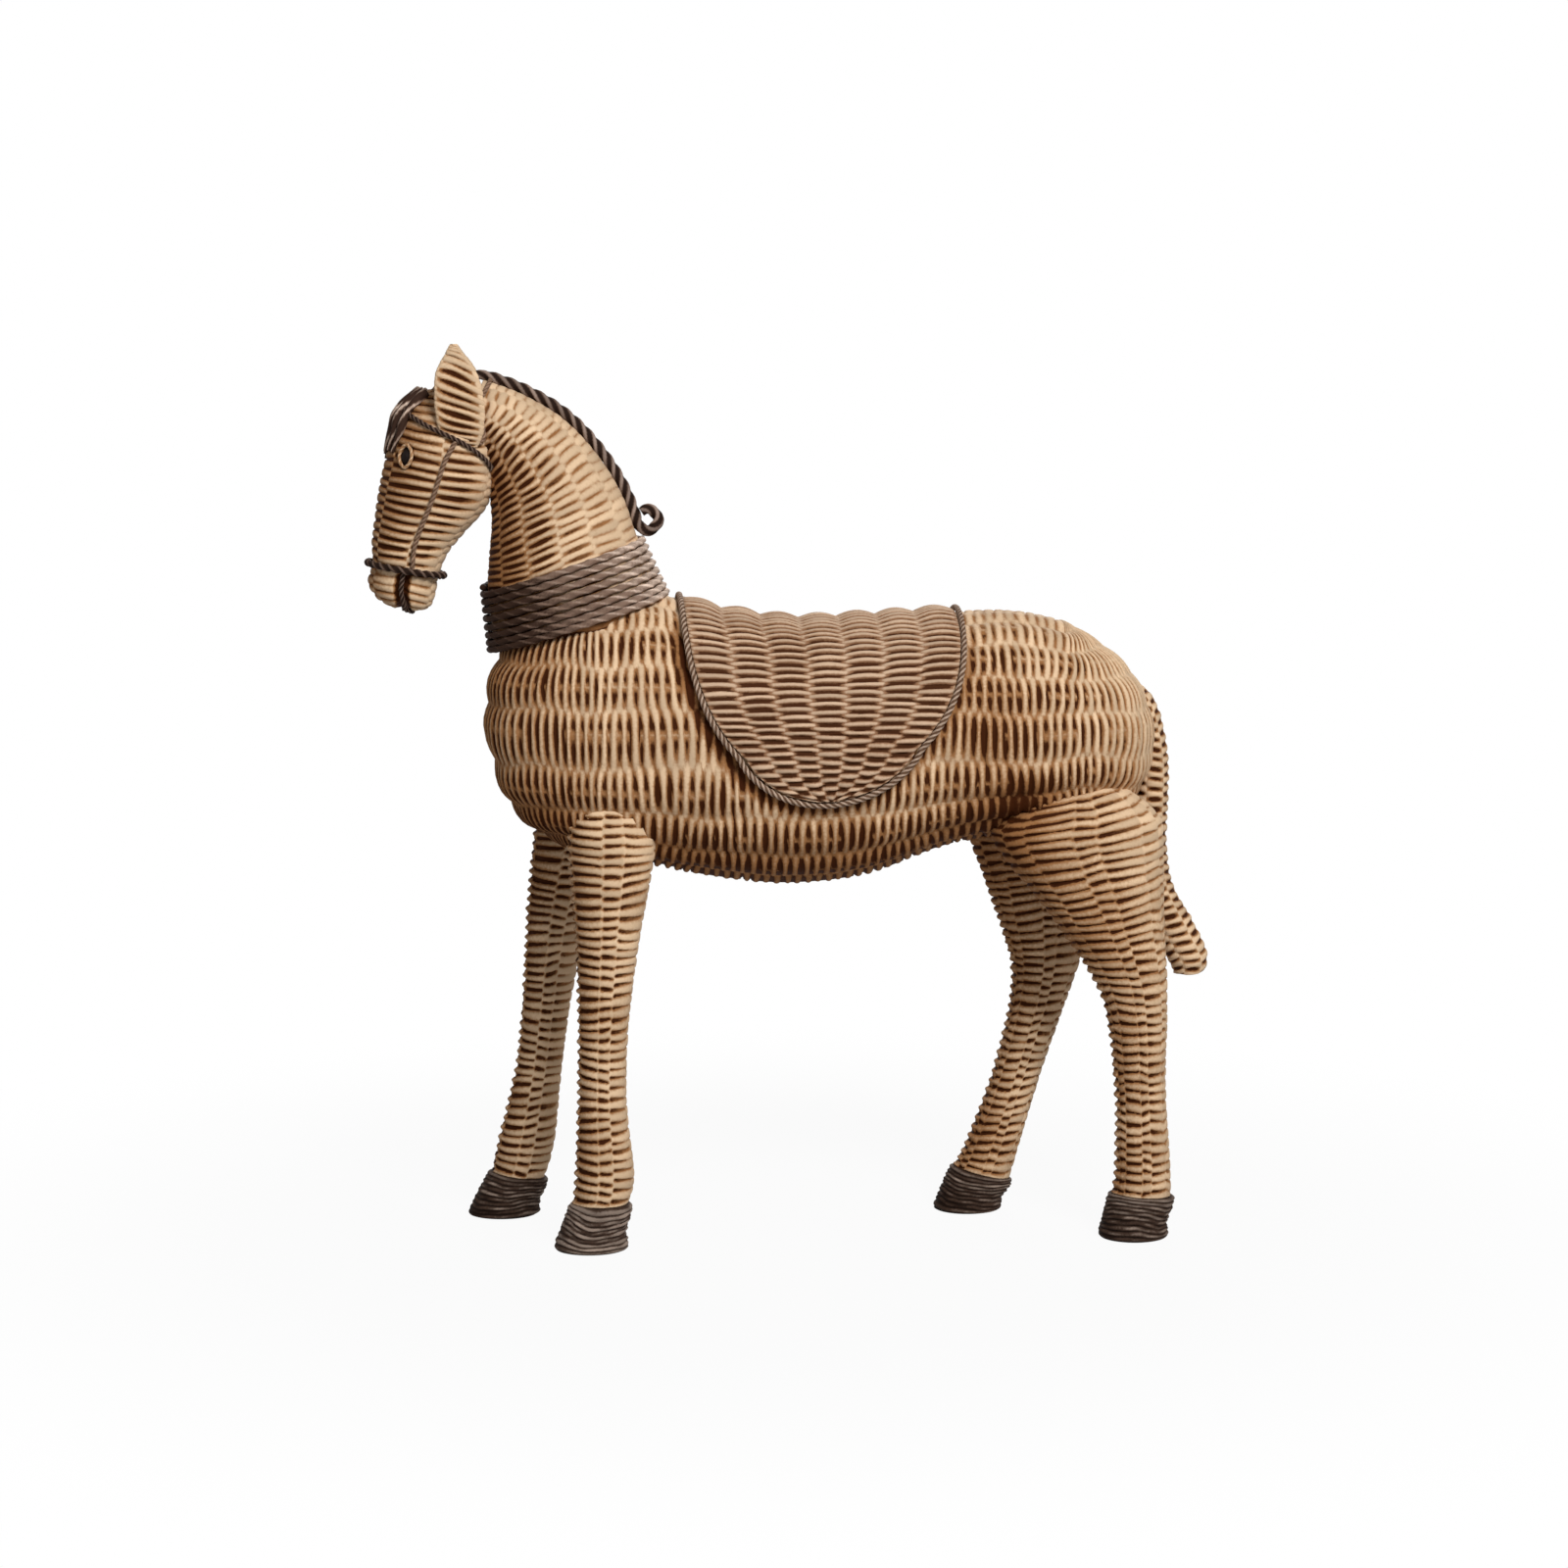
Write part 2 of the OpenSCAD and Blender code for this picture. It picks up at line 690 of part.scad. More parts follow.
module leg(rows, reach) {
    color(cane)
    difference() {
        form(rows, limb_sides);
        torso_form(reach[0], reach[1]);
        bar(leg_rod_ends(rows)[0], leg_rod_ends(rows)[1], leg_rod_d + 2 * pin_gap);
    }
}

// A hoof widens from the coronet to a flat sole, and bulges at each turn of its cord.
module hoof(rows) {
    top = rows[0];
    parts = 2 * hoof_turns;
    rings = [for (k = [0 : parts])
        let (
            down = 1 - k / parts,
            bulge = k % 2 == 1 ? hoof_bulge : 0,
            half = hoof_lip + hoof_flare * down + bulge
        )
        [for (j = [0 : limb_sides - 1]) ring_point([
            top[0] + (top[2] * tan(top[5]) - (hoof_toe + hoof_heel) / 2) * down, top[1], top[2] * (1 - down),
            top[3] + half + (hoof_toe - hoof_heel) / 2 * down, top[4] + half, top[5] * (1 - down)
        ], 360 * j / limb_sides)]];
    color(hoof_brown)
    through_rings(rings);
}

// Tail

module tail() {
    color(cane)
    difference() {
        form(tail_rows, limb_sides, half_step);
        torso_form(hind_reach[0], hind_reach[1]);
    }
}

// Saddle blanket: a cloth over the back whose outline is U-shaped on each side

// A place on the outline: turn runs from one flap's tip (-90) over the back to the other's, and share across.
function blanket_point(turn, share, lift, half_length, drop_angle) =
    let (
        down = sin(turn),
        half = half_length * cos(turn) * sqrt(1 + down * down)
    )
    torso_skin(
        stretch[0] * (blanket_middle + blanket_sweep * down * down + share * half),
        drop_angle * down,
        lift
    );

blanket_rows = 24;
column_points = 4;
blanket_over_points = column_points * column_count;
blanket_under_points = 4;
blanket_last_turn = 88;
blanket_turns = [for (k = [0 : blanket_rows]) blanket_last_turn * (2 * k / blanket_rows - 1)];
// The cloth's straight facets dip towards the rounder body by this much between its rows.
blanket_step_angle = blanket_last_turn * blanket_drop_angle * PI / 180 / blanket_rows;
blanket_dip = barrel[3] * stretch[1] * (1 - cos(blanket_step_angle));

module saddle_blanket() {
    under = seat_gap + blanket_dip;
    over = under + blanket_thickness;
    color(cane_shade)
    through_rings([for (turn = blanket_turns) concat(
        [for (k = [0 : blanket_over_points])
            let (
                across = k / blanket_over_points,
                dip = column_depth * (1 - abs(sin(180 * column_count * across)))
            )
            blanket_point(turn, 2 * across - 1, over - dip, blanket_half_length, blanket_drop_angle)[0]],
        [for (k = [blanket_under_points : -1 : 0])
            blanket_point(
                turn, 2 * k / blanket_under_points - 1, under,
                blanket_half_length, blanket_drop_angle
            )[0]]
    )]);
}

// The edging follows the outline, half a cord further out. On the flaps that is an angle.
edging_rings = 72;
edging_half_length = blanket_half_length + edging_d / 2 + seat_gap;
edging_drop_angle = blanket_drop_angle + atan((edging_d / 2 + seat_gap) / (barrel[3] * stretch[1]));

module saddle_edging() {
    path = [for (k = [0 : edging_rings - 1])
        blanket_point(
            360 * k / edging_rings, 1, edging_d / 2 + seat_gap,
            edging_half_length, edging_drop_angle
        )];
    color(cord_brown)
    cord(path, edging_d / 2, closed = true);
}

// Cord wound round the base of the neck, in a steady climb from the wrap's lower edge to its upper edge.
// It starts at the throat, and its ends run straight for one cord diameter.

wrap_first_row = 1.03;
wrap_last_row = 2.05;
wrap_rings = 24;
wrap_span = wrap_turns * wrap_rings;
wrap_turn_path = [for (k = [0 : wrap_span])
    skin(
        neck_rows,
        wrap_first_row + (wrap_last_row - wrap_first_row) * k / wrap_span,
        180 + 360 * k / wrap_rings,
        wrap_cord_d / 2 + seat_gap
    )];
function wrap_end(here, before) =
    [here[0] + wrap_cord_d * unit(here[0] - before[0]), here[1]];
wrap_path = concat(
    [wrap_end(wrap_turn_path[0], wrap_turn_path[1])],
    wrap_turn_path,
    [wrap_end(wrap_turn_path[wrap_span], wrap_turn_path[wrap_span - 1])]
);
// Least gap from any point of the cord to the turn before it
wrap_near = 3;
wrap_gap = min([for (k = [wrap_rings : len(wrap_path) - 1])
    min([for (near = [-wrap_near : wrap_near])
        norm(wrap_path[k][0] - wrap_path[max(0, k - wrap_rings + near)][0])])]) - wrap_cord_d;
echo(neck_wrap_gap = wrap_gap);

module neck_wrap() {
    color(cord_brown)
    cord(wrap_path, wrap_cord_d / 2);
}

// Mane: a cord along the crest that ends in a free curl behind the neck

mane_points = 24;
mane_end_row = 7;
mane_root = skin(neck_rows, mane_start_row, 0, mane_d / 2 + seat_gap);
mane_down = [mane_root[1][2], 0, -mane_root[1][0]];
curl_centre = mane_root[0] + mane_curl / 2 * mane_root[1];
curl_tip_angle = 225;
curl_root_angle = 25;
curl_rings = 8;
// The last point stands free of the poll, between the ears
mane_tip_rise = 1.4;
mane_tip = stretched([poll[0], 0, poll[1]]) + mane_d * [1, 0, mane_tip_rise];
mane_path = concat(
    [for (k = [0 : curl_rings])
        let (
            a = curl_tip_angle + (curl_root_angle - curl_tip_angle) * k / curl_rings,
            inward = cos(a) * mane_root[1] - sin(a) * mane_down
        )
        [curl_centre - mane_curl / 2 * inward, inward]],
    [for (k = [0 : mane_points])
        skin(
            neck_rows,
            mane_start_row + (mane_end_row - mane_start_row) * k / mane_points,
            0,
            mane_d / 2 + seat_gap
        )],
    [[mane_tip, [0, 0, 1]]]
);

module mane_form() {
    cord(mane_path, mane_d / 2);
}

module mane() {
    color(cord_brown)
    mane_form();
}

// Forelock: a tuft of strands that falls from the poll over the forehead

forelock_lobes = 5;
forelock_columns = 20;
forelock_rings = 8;
forelock_spread_angle = 42;
// Shares of the spread and the thickness that are left at the tips, and of the thickness between two strands
forelock_tip_spread = 0.3;
forelock_tip_thickness = 0.4;
forelock_groove = 0.45;

module forelock() {
    color(cord_brown)
    difference() {
        forelock_form();
        throatlatch_form();
    }
}

module forelock_form() {
    through_rings([for (k = [0 : forelock_rings])
        let (
            share = k / forelock_rings,
            t = forelock_foot_row + (forelock_top_row - forelock_foot_row) * share,
            half = forelock_spread_angle * (forelock_tip_spread + (1 - forelock_tip_spread) * share),
            thick = forelock_thickness * (forelock_tip_thickness + (1 - forelock_tip_thickness) * share)
        )
        concat(
            [for (j = [0 : forelock_columns])
                let (
                    place = j / forelock_columns,
                    lobe = forelock_groove + (1 - forelock_groove) * abs(sin(180 * forelock_lobes * place))
                )
                skin(head_rows, t, 180 + half * (2 * place - 1), seat_gap + thick * lobe)[0]],
            [for (j = [forelock_columns : -1 : 0])
                skin(head_rows, t, 180 + half * (2 * j / forelock_columns - 1), seat_gap)[0]]
        )]);
}

// Bridle: cords that lie on the head

// A cord over places on the head, each a row and an angle, in so many steps between them.
function head_path(places, steps, lift) =
    [for (k = [0 : steps * (len(places) - 1)])
        let (place = smooth(places, k / steps))
        skin(head_rows, place[0], place[1], lift)];

bridle_lift = bridle_d / 2 + seat_gap;
strap_steps = 4;
noseband_row = 3;
noseband_rings = 30;

module noseband_form() {
    cord(
        [for (k = [0 : noseband_rings - 1])
            skin(head_rows, noseband_row, 360 * k / noseband_rings, noseband_d / 2 + seat_gap)],
        noseband_d / 2,
        closed = true
    );
}

module noseband() {
    color(cord_brown)
    noseband_form();
}

throat_places = [
    [9.05, 180], [8.75, 140], [8.45, 105], [8.15, 70], [7.7, 40], [7.1, 18], [6.6, 0]
];

module throatlatch_form() {
    half = head_path(throat_places, strap_steps, bridle_lift);
    other = head_path([for (p = throat_places) [p[0], -p[1]]], strap_steps, bridle_lift);
    cord(
        concat(half, [for (k = [len(half) - 2 : -1 : 1]) other[k]]),
        bridle_d / 2,
        closed = true
    );
}

module throatlatch() {
    color(cord_brown)
    difference() {
        throatlatch_form();
        neck_form();
    }
}

cheek_places = [[3.1, 79], [4.6, 86], [6, 90], [7.3, 88], [8.15, 78]];

module cheek_strap(side) {
    color(cord_brown)
    difference() {
        cord(head_path([for (p = cheek_places) [p[0], side * p[1]]], strap_steps, bridle_lift), bridle_d / 2);
        noseband_form();
        throatlatch_form();
    }
}

// The crown strap climbs behind each ear, over the nape, to the mane.
crown_head_places = [[8.2, 50], [8.5, 42]];
crown_neck_row = 6.75;
crown_neck_angles = [76, 55, 32, 10];

module crown_strap() {
    color(cord_brown)
    for (side = [LEFT, RIGHT])
        difference() {
            cord(concat(
                [for (p = crown_head_places) skin(head_rows, p[0], side * p[1], bridle_lift)],
                [for (q = crown_neck_angles) skin(neck_rows, crown_neck_row, side * q, bridle_lift)]
            ), bridle_d / 2);
            throatlatch_form();
            head_form();
            neck_form();
            mane_form();
            ear_form(side);
        }
}

// The mouth cord lies in a groove that runs under the muzzle from side to side.
mouth_places = [
    [2.85, 92], [1.9, 90], [1, 86], [0.4, 80], [0.1, 0], [0.4, -80], [1, -86], [1.9, -90], [2.85, -92]
];
mouth_steps = 3;

module mouth_cord_form(d) {
    cord(head_path(mouth_places, mouth_steps, 0), d / 2);
}

module mouth_cord() {
    color(cord_brown)
    difference() {
        mouth_cord_form(bridle_d);
        noseband_form();
    }
}

torso();
neck();
head();
ear(LEFT);  // left_ear
ear(RIGHT);  // right_ear
leg(front_left_rows, front_reach);  // front_left_leg
leg(front_right_rows, front_reach);  // front_right_leg
leg(hind_left_rows, hind_reach);  // hind_left_leg
leg(hind_right_rows, hind_reach);  // hind_right_leg
hoof(front_left_rows);  // front_left_hoof
hoof(front_right_rows);  // front_right_hoof
hoof(hind_left_rows);  // hind_left_hoof
hoof(hind_right_rows);  // hind_right_hoof
tail();
saddle_blanket();
saddle_edging();
neck_wrap();
mane();
forelock();
noseband();
cheek_strap(LEFT);  // left_cheek_strap
cheek_strap(RIGHT);  // right_cheek_strap
throatlatch();
crown_strap();
mouth_cord();
eye(LEFT);  // left_eye
eye(RIGHT);  // right_eye
eyelid(LEFT);  // left_eyelid
eyelid(RIGHT);  // right_eyelid
leg_rods();
neck_rod();
head_pin();
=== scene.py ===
import math

import bpy
import numpy as np
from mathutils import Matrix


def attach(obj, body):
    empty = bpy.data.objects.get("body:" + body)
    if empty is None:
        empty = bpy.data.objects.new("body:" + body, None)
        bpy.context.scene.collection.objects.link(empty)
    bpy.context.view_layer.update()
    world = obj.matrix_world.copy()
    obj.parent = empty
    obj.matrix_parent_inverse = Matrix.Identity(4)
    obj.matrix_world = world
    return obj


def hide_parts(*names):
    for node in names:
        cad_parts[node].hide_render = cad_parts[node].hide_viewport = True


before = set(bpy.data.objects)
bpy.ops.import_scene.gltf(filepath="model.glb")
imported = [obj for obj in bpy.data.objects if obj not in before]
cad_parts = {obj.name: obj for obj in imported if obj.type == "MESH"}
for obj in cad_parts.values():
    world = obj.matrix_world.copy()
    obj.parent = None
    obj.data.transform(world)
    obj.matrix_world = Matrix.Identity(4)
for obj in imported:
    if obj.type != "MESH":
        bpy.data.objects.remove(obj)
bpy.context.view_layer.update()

# Sizes are in millimetres, as in the part's source, and become metres when a piece is made. On a form,
# t is a place along it, counted in its rows, and q an angle round it in degrees.
MM = 0.001
LEFT = -1
RIGHT = 1
ROUND = (2, 2)


# Forms of the castings: rows of x, y, z, half depth, half width and tilt

def tilted_rows(rings, tilts):
    """Rows in the figure's middle plane, from rings of x, z, half depth and half width."""
    rings = np.array(rings, float)
    rows = np.zeros((len(rings), 6))
    rows[:, [0, 2, 3, 4]] = rings
    rows[:, 5] = tilts
    return rows


# Rings of a leg's crown, as shares of its rise and of the top section's size
crown_rings = [(0.45, 0.94), (0.88, 0.55), (1, 0.15)]
crown_lean = 0.12


def leg_rows(points, coronet_tilt, sections, crown_rise):
    """Rows from the coronet up to the crown, which leans in under the torso."""
    points = np.array(points, float)
    sections = np.array(sections, float)
    top = points[-1]
    rows = []
    for point, section in zip(points, sections):
        rows.append([*point, *section, 0])
    rows[0][5] = coronet_tilt
    for up, share in crown_rings:
        centre = [top[0], top[1] * (1 - crown_lean * up), top[2] + crown_rise * up]
        rows.append([*centre, *(sections[-1] * share), 0])
    return np.array(rows, float)


torso_rows = tilted_rows([
    (142, 192, 3, 3), (139.5, 193, 13, 13), (132, 193.5, 26, 25), (120, 196, 34, 34),
    (103, 198.5, 40.5, 40), (82, 199, 43.5, 43), (57, 196, 45.5, 44), (28, 190, 49.8, 45),
    (-2, 188, 51, 45.5), (-30, 191.5, 51.8, 45), (-55, 197.5, 53, 43.5), (-79, 199.5, 51, 41),
    (-99, 200, 42.5, 34.5), (-111, 201, 31, 25), (-117, 202.5, 16, 14), (-119.3, 203, 4, 4),
], 90)
torso_fullness = (2, 2.6)

neck_rows = tilted_rows([
    (-79, 229, 37, 31), (-82, 238.5, 34.5, 28), (-88, 260.5, 30.8, 24.5), (-91, 276.5, 28.2, 22),
    (-95.5, 291, 24, 20), (-102.5, 304, 19.5, 17.5), (-112, 314.5, 14.5, 14), (-123, 320, 12.5, 9),
], [17, 17, 18, 25, 33, 42, 53, 65])

head_rows = tilted_rows([
    (-149, 243.4, 3, 3), (-149.2, 246, 10, 9), (-149.6, 252, 13.2, 12), (-148, 259.5, 13, 12.4),
    (-146.4, 267.5, 14.8, 13.4), (-142.8, 275.5, 17.3, 15.2), (-137.8, 285.5, 20.8, 17.8),
    (-134.6, 296, 21.6, 19), (-133, 307, 20.2, 18), (-131.5, 318.5, 16.6, 14.5), (-129.5, 328.5, 6, 6),
], -10)

tail_rows = tilted_rows([
    (157, 99, 6.4, 7), (156.4, 105, 8, 9), (150, 117, 8.8, 9.8), (142.8, 133, 7.6, 9.6),
    (140.5, 152, 7, 9.6), (141, 182, 6.8, 9.4), (137, 204, 6, 8.6), (130, 214.5, 3, 5),
], [6, 20, 24, 10, 0, 4, 18, 34])

front_sections = [(10.6, 10.6), (11.3, 10.8), (9.4, 9.2), (9.8, 9.4), (12.6, 11.4), (16.6, 14)]
hind_sections = [(11.4, 10.8), (10.8, 10.4), (10, 9.4), (13, 11), (21.5, 14.5), (33, 20)]
legs = {
    "front_left": leg_rows([
        (-75.8, -31, 18), (-74.2, -31, 29), (-75, -30.7, 58), (-74.3, -30, 88),
        (-72.4, -29, 122), (-70.8, -27.5, 153),
    ], 0, front_sections, 25),
    "front_right": leg_rows([
        (-106.6, 31, 16), (-103.4, 31, 29), (-98.4, 30.7, 58), (-94.6, 30, 88),
        (-90, 29, 122), (-83, 27.5, 153),
    ], -8, front_sections, 25),
    "hind_left": leg_rows([
        (134.3, -27, 17), (134.6, -27, 29), (133.3, -27, 60), (130.5, -27.5, 95),
        (120.6, -26.5, 124), (109, -23, 154),
    ], -3, hind_sections, 24),
    "hind_right": leg_rows([
        (78.6, 25.5, 15), (83.8, 25.5, 29), (94, 26, 60), (103.2, 26.5, 95),
        (103.4, 26, 124), (104, 23, 154),
    ], -14, hind_sections, 24),
}


# Places on a form

def smooth(rows, t):
    """Rows at places t, on a curve that passes through all the given ones."""
    t = np.asarray(t, float)
    last = len(rows) - 1
    i = np.clip(np.floor(t).astype(int), 0, last - 1)
    f = (t - i)[..., None]
    a = rows[np.maximum(i - 1, 0)]
    b = rows[i]
    c = rows[i + 1]
    d = rows[np.minimum(i + 2, last)]
    return b + 0.5 * f * (c - a + f * (2 * a - 5 * b + 4 * c - d + f * (3 * (b - c) + d - a)))


def full(v, power):
    """A sine or cosine bent to make a section fuller than round, where power is over 2."""
    return np.sign(v) * np.abs(v) ** (2 / power)


def on_form(rows, t, q, fullness=ROUND):
    """Points of a form at places t, counted in rows, and angles q in degrees, of one shape."""
    row = smooth(rows, t)
    c = np.cos(np.radians(q))
    s = np.sin(np.radians(q))
    power = np.where(c > 0, *fullness)
    depth = row[..., 3] * full(c, power)
    width = row[..., 4] * full(s, power)
    tilt = np.radians(row[..., 5])
    return np.stack([
        row[..., 0] + depth * np.cos(tilt), row[..., 1] + width, row[..., 2] + depth * np.sin(tilt)
    ], -1)


def unit(v):
    return v / np.maximum(np.linalg.norm(v, axis=-1, keepdims=True), 1e-9)


def clamp(v):
    """Values held between 0 and 1."""
    return np.clip(v, 0, 1)


def ramp(v, start, end):
    """A share that goes from 0 to 1 as a value goes from start to end."""
    return clamp((v - start) / (end - start))


def from_top(q):
    """Degrees from angle 0, whichever way round: from the back, the crest, the jaw or a leg's rear."""
    return np.abs(np.mod(q + 180, 360) - 180)


def skin(rows, t, q, lift, fullness=ROUND):
    """Points lifted off a form's skin, and the directions that point out of it."""
    t = np.asarray(t, float)
    q = np.asarray(q, float)
    t, q = np.broadcast_arrays(t, q)
    around = on_form(rows, t, q + 1, fullness) - on_form(rows, t, q - 1, fullness)
    along = on_form(rows, t + 0.02, q, fullness) - on_form(rows, t - 0.02, q, fullness)
    out = unit(np.cross(around, along))
    lift = np.broadcast_to(np.asarray(lift, float), t.shape)
    return on_form(rows, t, q, fullness) + lift[..., None] * out, out


def length_along(points):
    """How far along a line each of its points is."""
    steps = np.linalg.norm(np.diff(points, axis=0), axis=1)
    return np.concatenate([[0], np.cumsum(steps)])


def even_places(rows, first, last, fullness):
    """Finely spaced places along a form, and how far each is along its near side."""
    t = np.linspace(first, last, 1600)
    return t, length_along(on_form(rows, t, np.full(t.shape, -90.0), fullness))


def even_turns(rows, places, shares, fullness):
    """Angles, from 0 to 360, that lie at these shares of the way round each ring."""
    fine = np.linspace(0, 360, 361)
    turns = np.empty((len(places), len(shares)))
    for i, t in enumerate(places):
        way = length_along(on_form(rows, np.full(fine.shape, t), fine, fullness))
        turns[i] = np.interp(shares * way[-1], way, fine)
    return turns


# Meshes

weld_reach = 2e-6


def deselect():
    bpy.ops.object.select_all(action="DESELECT")


def named(name):
    """The object that an operator has just added, under its name."""
    piece = bpy.context.object
    piece.name = name
    piece.data.name = name
    return piece


def vertex_places(mesh):
    places = np.empty(len(mesh.vertices) * 3)
    mesh.vertices.foreach_get("co", places)
    return places.reshape(-1, 3)


def edit_all(operator, **settings):
    """Uses an edit mode operator on the whole of the active piece."""
    bpy.ops.object.mode_set(mode="EDIT")
    bpy.ops.mesh.select_all(action="SELECT")
    operator(**settings)
    bpy.ops.object.mode_set(mode="OBJECT")


def weld():
    edit_all(bpy.ops.mesh.remove_doubles, threshold=weld_reach)


def grid_piece(name, points, shade, tone):
    """A grid laid on rows and columns of points, its meeting edges and poles welded."""
    rows, columns = points.shape[:2]
    deselect()
    bpy.ops.mesh.primitive_grid_add(x_subdivisions=columns - 1, y_subdivisions=rows - 1, size=2)
    piece = named(name)
    mesh = piece.data
    flat = vertex_places(mesh)
    column = np.rint((flat[:, 0] + 1) / 2 * (columns - 1)).astype(int)
    row = np.rint((flat[:, 1] + 1) / 2 * (rows - 1)).astype(int)
    mesh.vertices.foreach_set("co", (points[row, column] * MM).astype(np.float32).ravel())
    for mark, values in (("shade", shade), ("tone", tone)):
        layer = mesh.attributes.new(mark, "FLOAT", "POINT")
        layer.data.foreach_set("value", values[row, column].astype(np.float32))
    weld()
    bpy.ops.object.shade_smooth()
    return piece


def ended(values):
    """Repeats the first row and the last one."""
    return np.concatenate([values[:1], values, values[-1:]])


def capped_piece(name, points, shade, tone):
    """A grid that is closed at each end by a row drawn in to one point."""
    start = np.broadcast_to(points[:1].mean(axis=1, keepdims=True), points[:1].shape)
    end = np.broadcast_to(points[-1:].mean(axis=1, keepdims=True), points[:1].shape)
    return grid_piece(name, np.concatenate([start, points, end]), ended(shade), ended(tone))


def joined(parts):
    """Parts made one piece, under the first one's name, with shared edges welded."""
    deselect()
    for part in parts:
        part.select_set(True)
    bpy.context.view_layer.objects.active = parts[0]
    bpy.ops.object.join()
    weld()
    return bpy.context.object


def place(piece, slot, finish, *nodes):
    """Gives a piece its finish, in place of these nodes of the frame; its slot is not used."""
    piece.data.materials.clear()
    piece.data.materials.append(finish)
    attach(piece, "root")
    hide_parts(*nodes)


# The weave: strands that pass over and under stakes, in brick order

def drift(across, along, stakes, rng):
    """A slow wander of the strands, between about -1 and 1, that meets itself round a ring."""
    total = np.zeros(np.broadcast(across, along).shape)
    for turns in (1, -2, 2, -3, 4):
        slope = rng.uniform(0.08, 0.4)
        phase = rng.uniform(0, 2 * math.pi)
        total += np.sin(slope * across + 2 * math.pi * turns / stakes * along + phase)
    return total / 3


# Each strand has its own lean, width and so on over each stake, drawn for this many strands.
strand_limit = 320


def weave(across, along, depth, plump, seed, stakes, tip=0.95, square=1.0, stiff=1.6, dive=0.0, fade=0.0,
          seams=0.0, bridges=0.0, wander=0.3, sway=0.0, stray=0.0, crown=0.95):
    """Height, shade and tone of a woven skin.

    across counts strands and along counts stakes. A strand lies over each second stake, and its
    neighbours over the others. Height 0 is the top of a strand over a stake. plump and tip are its
    half widths over a stake and where it dives, and square keeps the first one longer. Stiff strands
    stay up longer and leave longer gaps. dive browns a strand where it goes under, fade closes each gap
    towards one end, seams closes the gaps at a ringed casting's lines, and bridges is the share of gaps in
    which the stake shows. wander is how far strands stray, stray how far the lines between bands do,
    sway how far the strands' ends bend towards the next ones, and crown how far their backs stand up.
    """
    rng = np.random.default_rng(seed)
    lean, width, rise = rng.uniform(-1, 1, (3, strand_limit, stakes))
    tint, chance = rng.uniform(0, 1, (2, strand_limit, stakes))
    bow = rng.uniform(-1, 1, (strand_limit, stakes))
    across = across + wander * drift(across, along, stakes, rng)
    slant = sway * drift(across, along, stakes, rng)
    along = along + stray * drift(across, along, stakes, rng)
    height = np.full(across.shape, -2.2 * depth - 0.6)
    shade = np.ones(across.shape)
    tone = np.full(across.shape, 0.35)
    base = np.floor(across).astype(int)
    band = np.rint(along)
    in_band = along - band
    closing = np.maximum(fade * clamp(1.8 * (in_band + 0.5)),
                         seams * ramp(np.abs(in_band), 0.28, 0.33))
    for step in (-1, 0, 1, 2):
        k = base + step
        row = np.clip(k, 0, strand_limit - 1)
        over = 2 * np.rint((along + k) / 2) - k
        pick = (row, np.mod(over, stakes).astype(int))
        swing = np.cos(np.pi * (along + k))
        swing = np.sign(swing) * np.abs(swing) ** (1 / stiff)
        spread = np.where(swing > 0, 1 - swing ** 2, 1) ** square
        half = plump * (1 + 0.2 * width[pick])
        half = half + closing * np.maximum(0.96 - half, 0)
        half = half + (tip - half) * spread
        past = np.clip(along - over, -1, 1)
        bend = past * (0.4 + 0.6 * np.minimum(4 * past ** 2, 1)) * ramp(np.abs(past), 1, 0.5)
        belly = clamp(1 - 4 * past ** 2)
        x = np.abs(across - k - (0.3 * lean[pick] + slant) * bend - 0.16 * bow[pick] * belly)
        edge = clamp(x / half)
        top = depth * (swing - 1) * (1 - 0.6 * closing) + 0.25 * depth * (rise[pick] - 1)
        level = np.where(x < half, top + crown * (1 - 0.5 * closing) * (np.sqrt(1 - edge ** 2) - 1), -99)
        under = clamp(dive - 1.3 * swing) * (1 - 0.3 * closing)
        wash = clamp(0.68 * (1 - 0.6 * closing) * edge ** 2 + under)
        bridged = chance[row, np.mod(band, stakes).astype(int)] < bridges
        stake = bridged & (np.abs(in_band) < 0.06) & (swing < 0)
        level = np.where(stake, np.maximum(level, -depth), level)
        wash = np.where(stake, 0.3, wash)
        seen = level > height
        height = np.where(seen, level, height)
        shade = np.where(seen, wash, shade)
        tone = np.where(seen, tint[pick], tone)
    return height, shade, tone


def band_lines(columns, stakes):
    """Places along the stakes, closer together near the lines between bands."""
    along = np.linspace(-0.5, stakes - 0.5, columns + 1)
    return along + 0.4 * np.sin(2 * math.pi * along) / (2 * math.pi)


def tight_weave(across, along, closed, depth, plump, seed, stakes, **lay):
    """A weave whose gaps close by these shares, with less relief and less wash there."""
    height, shade, tone = weave(across, along, depth, plump + 0.3 * closed, seed, stakes, **lay)
    return height * (1 - 0.5 * closed), shade * (1 - 0.65 * closed), tone


# Forms thinner than this have less relief, so that it doesn't meet itself.
slim_girth = 2 * math.pi * 9
ringed_share = 0.72


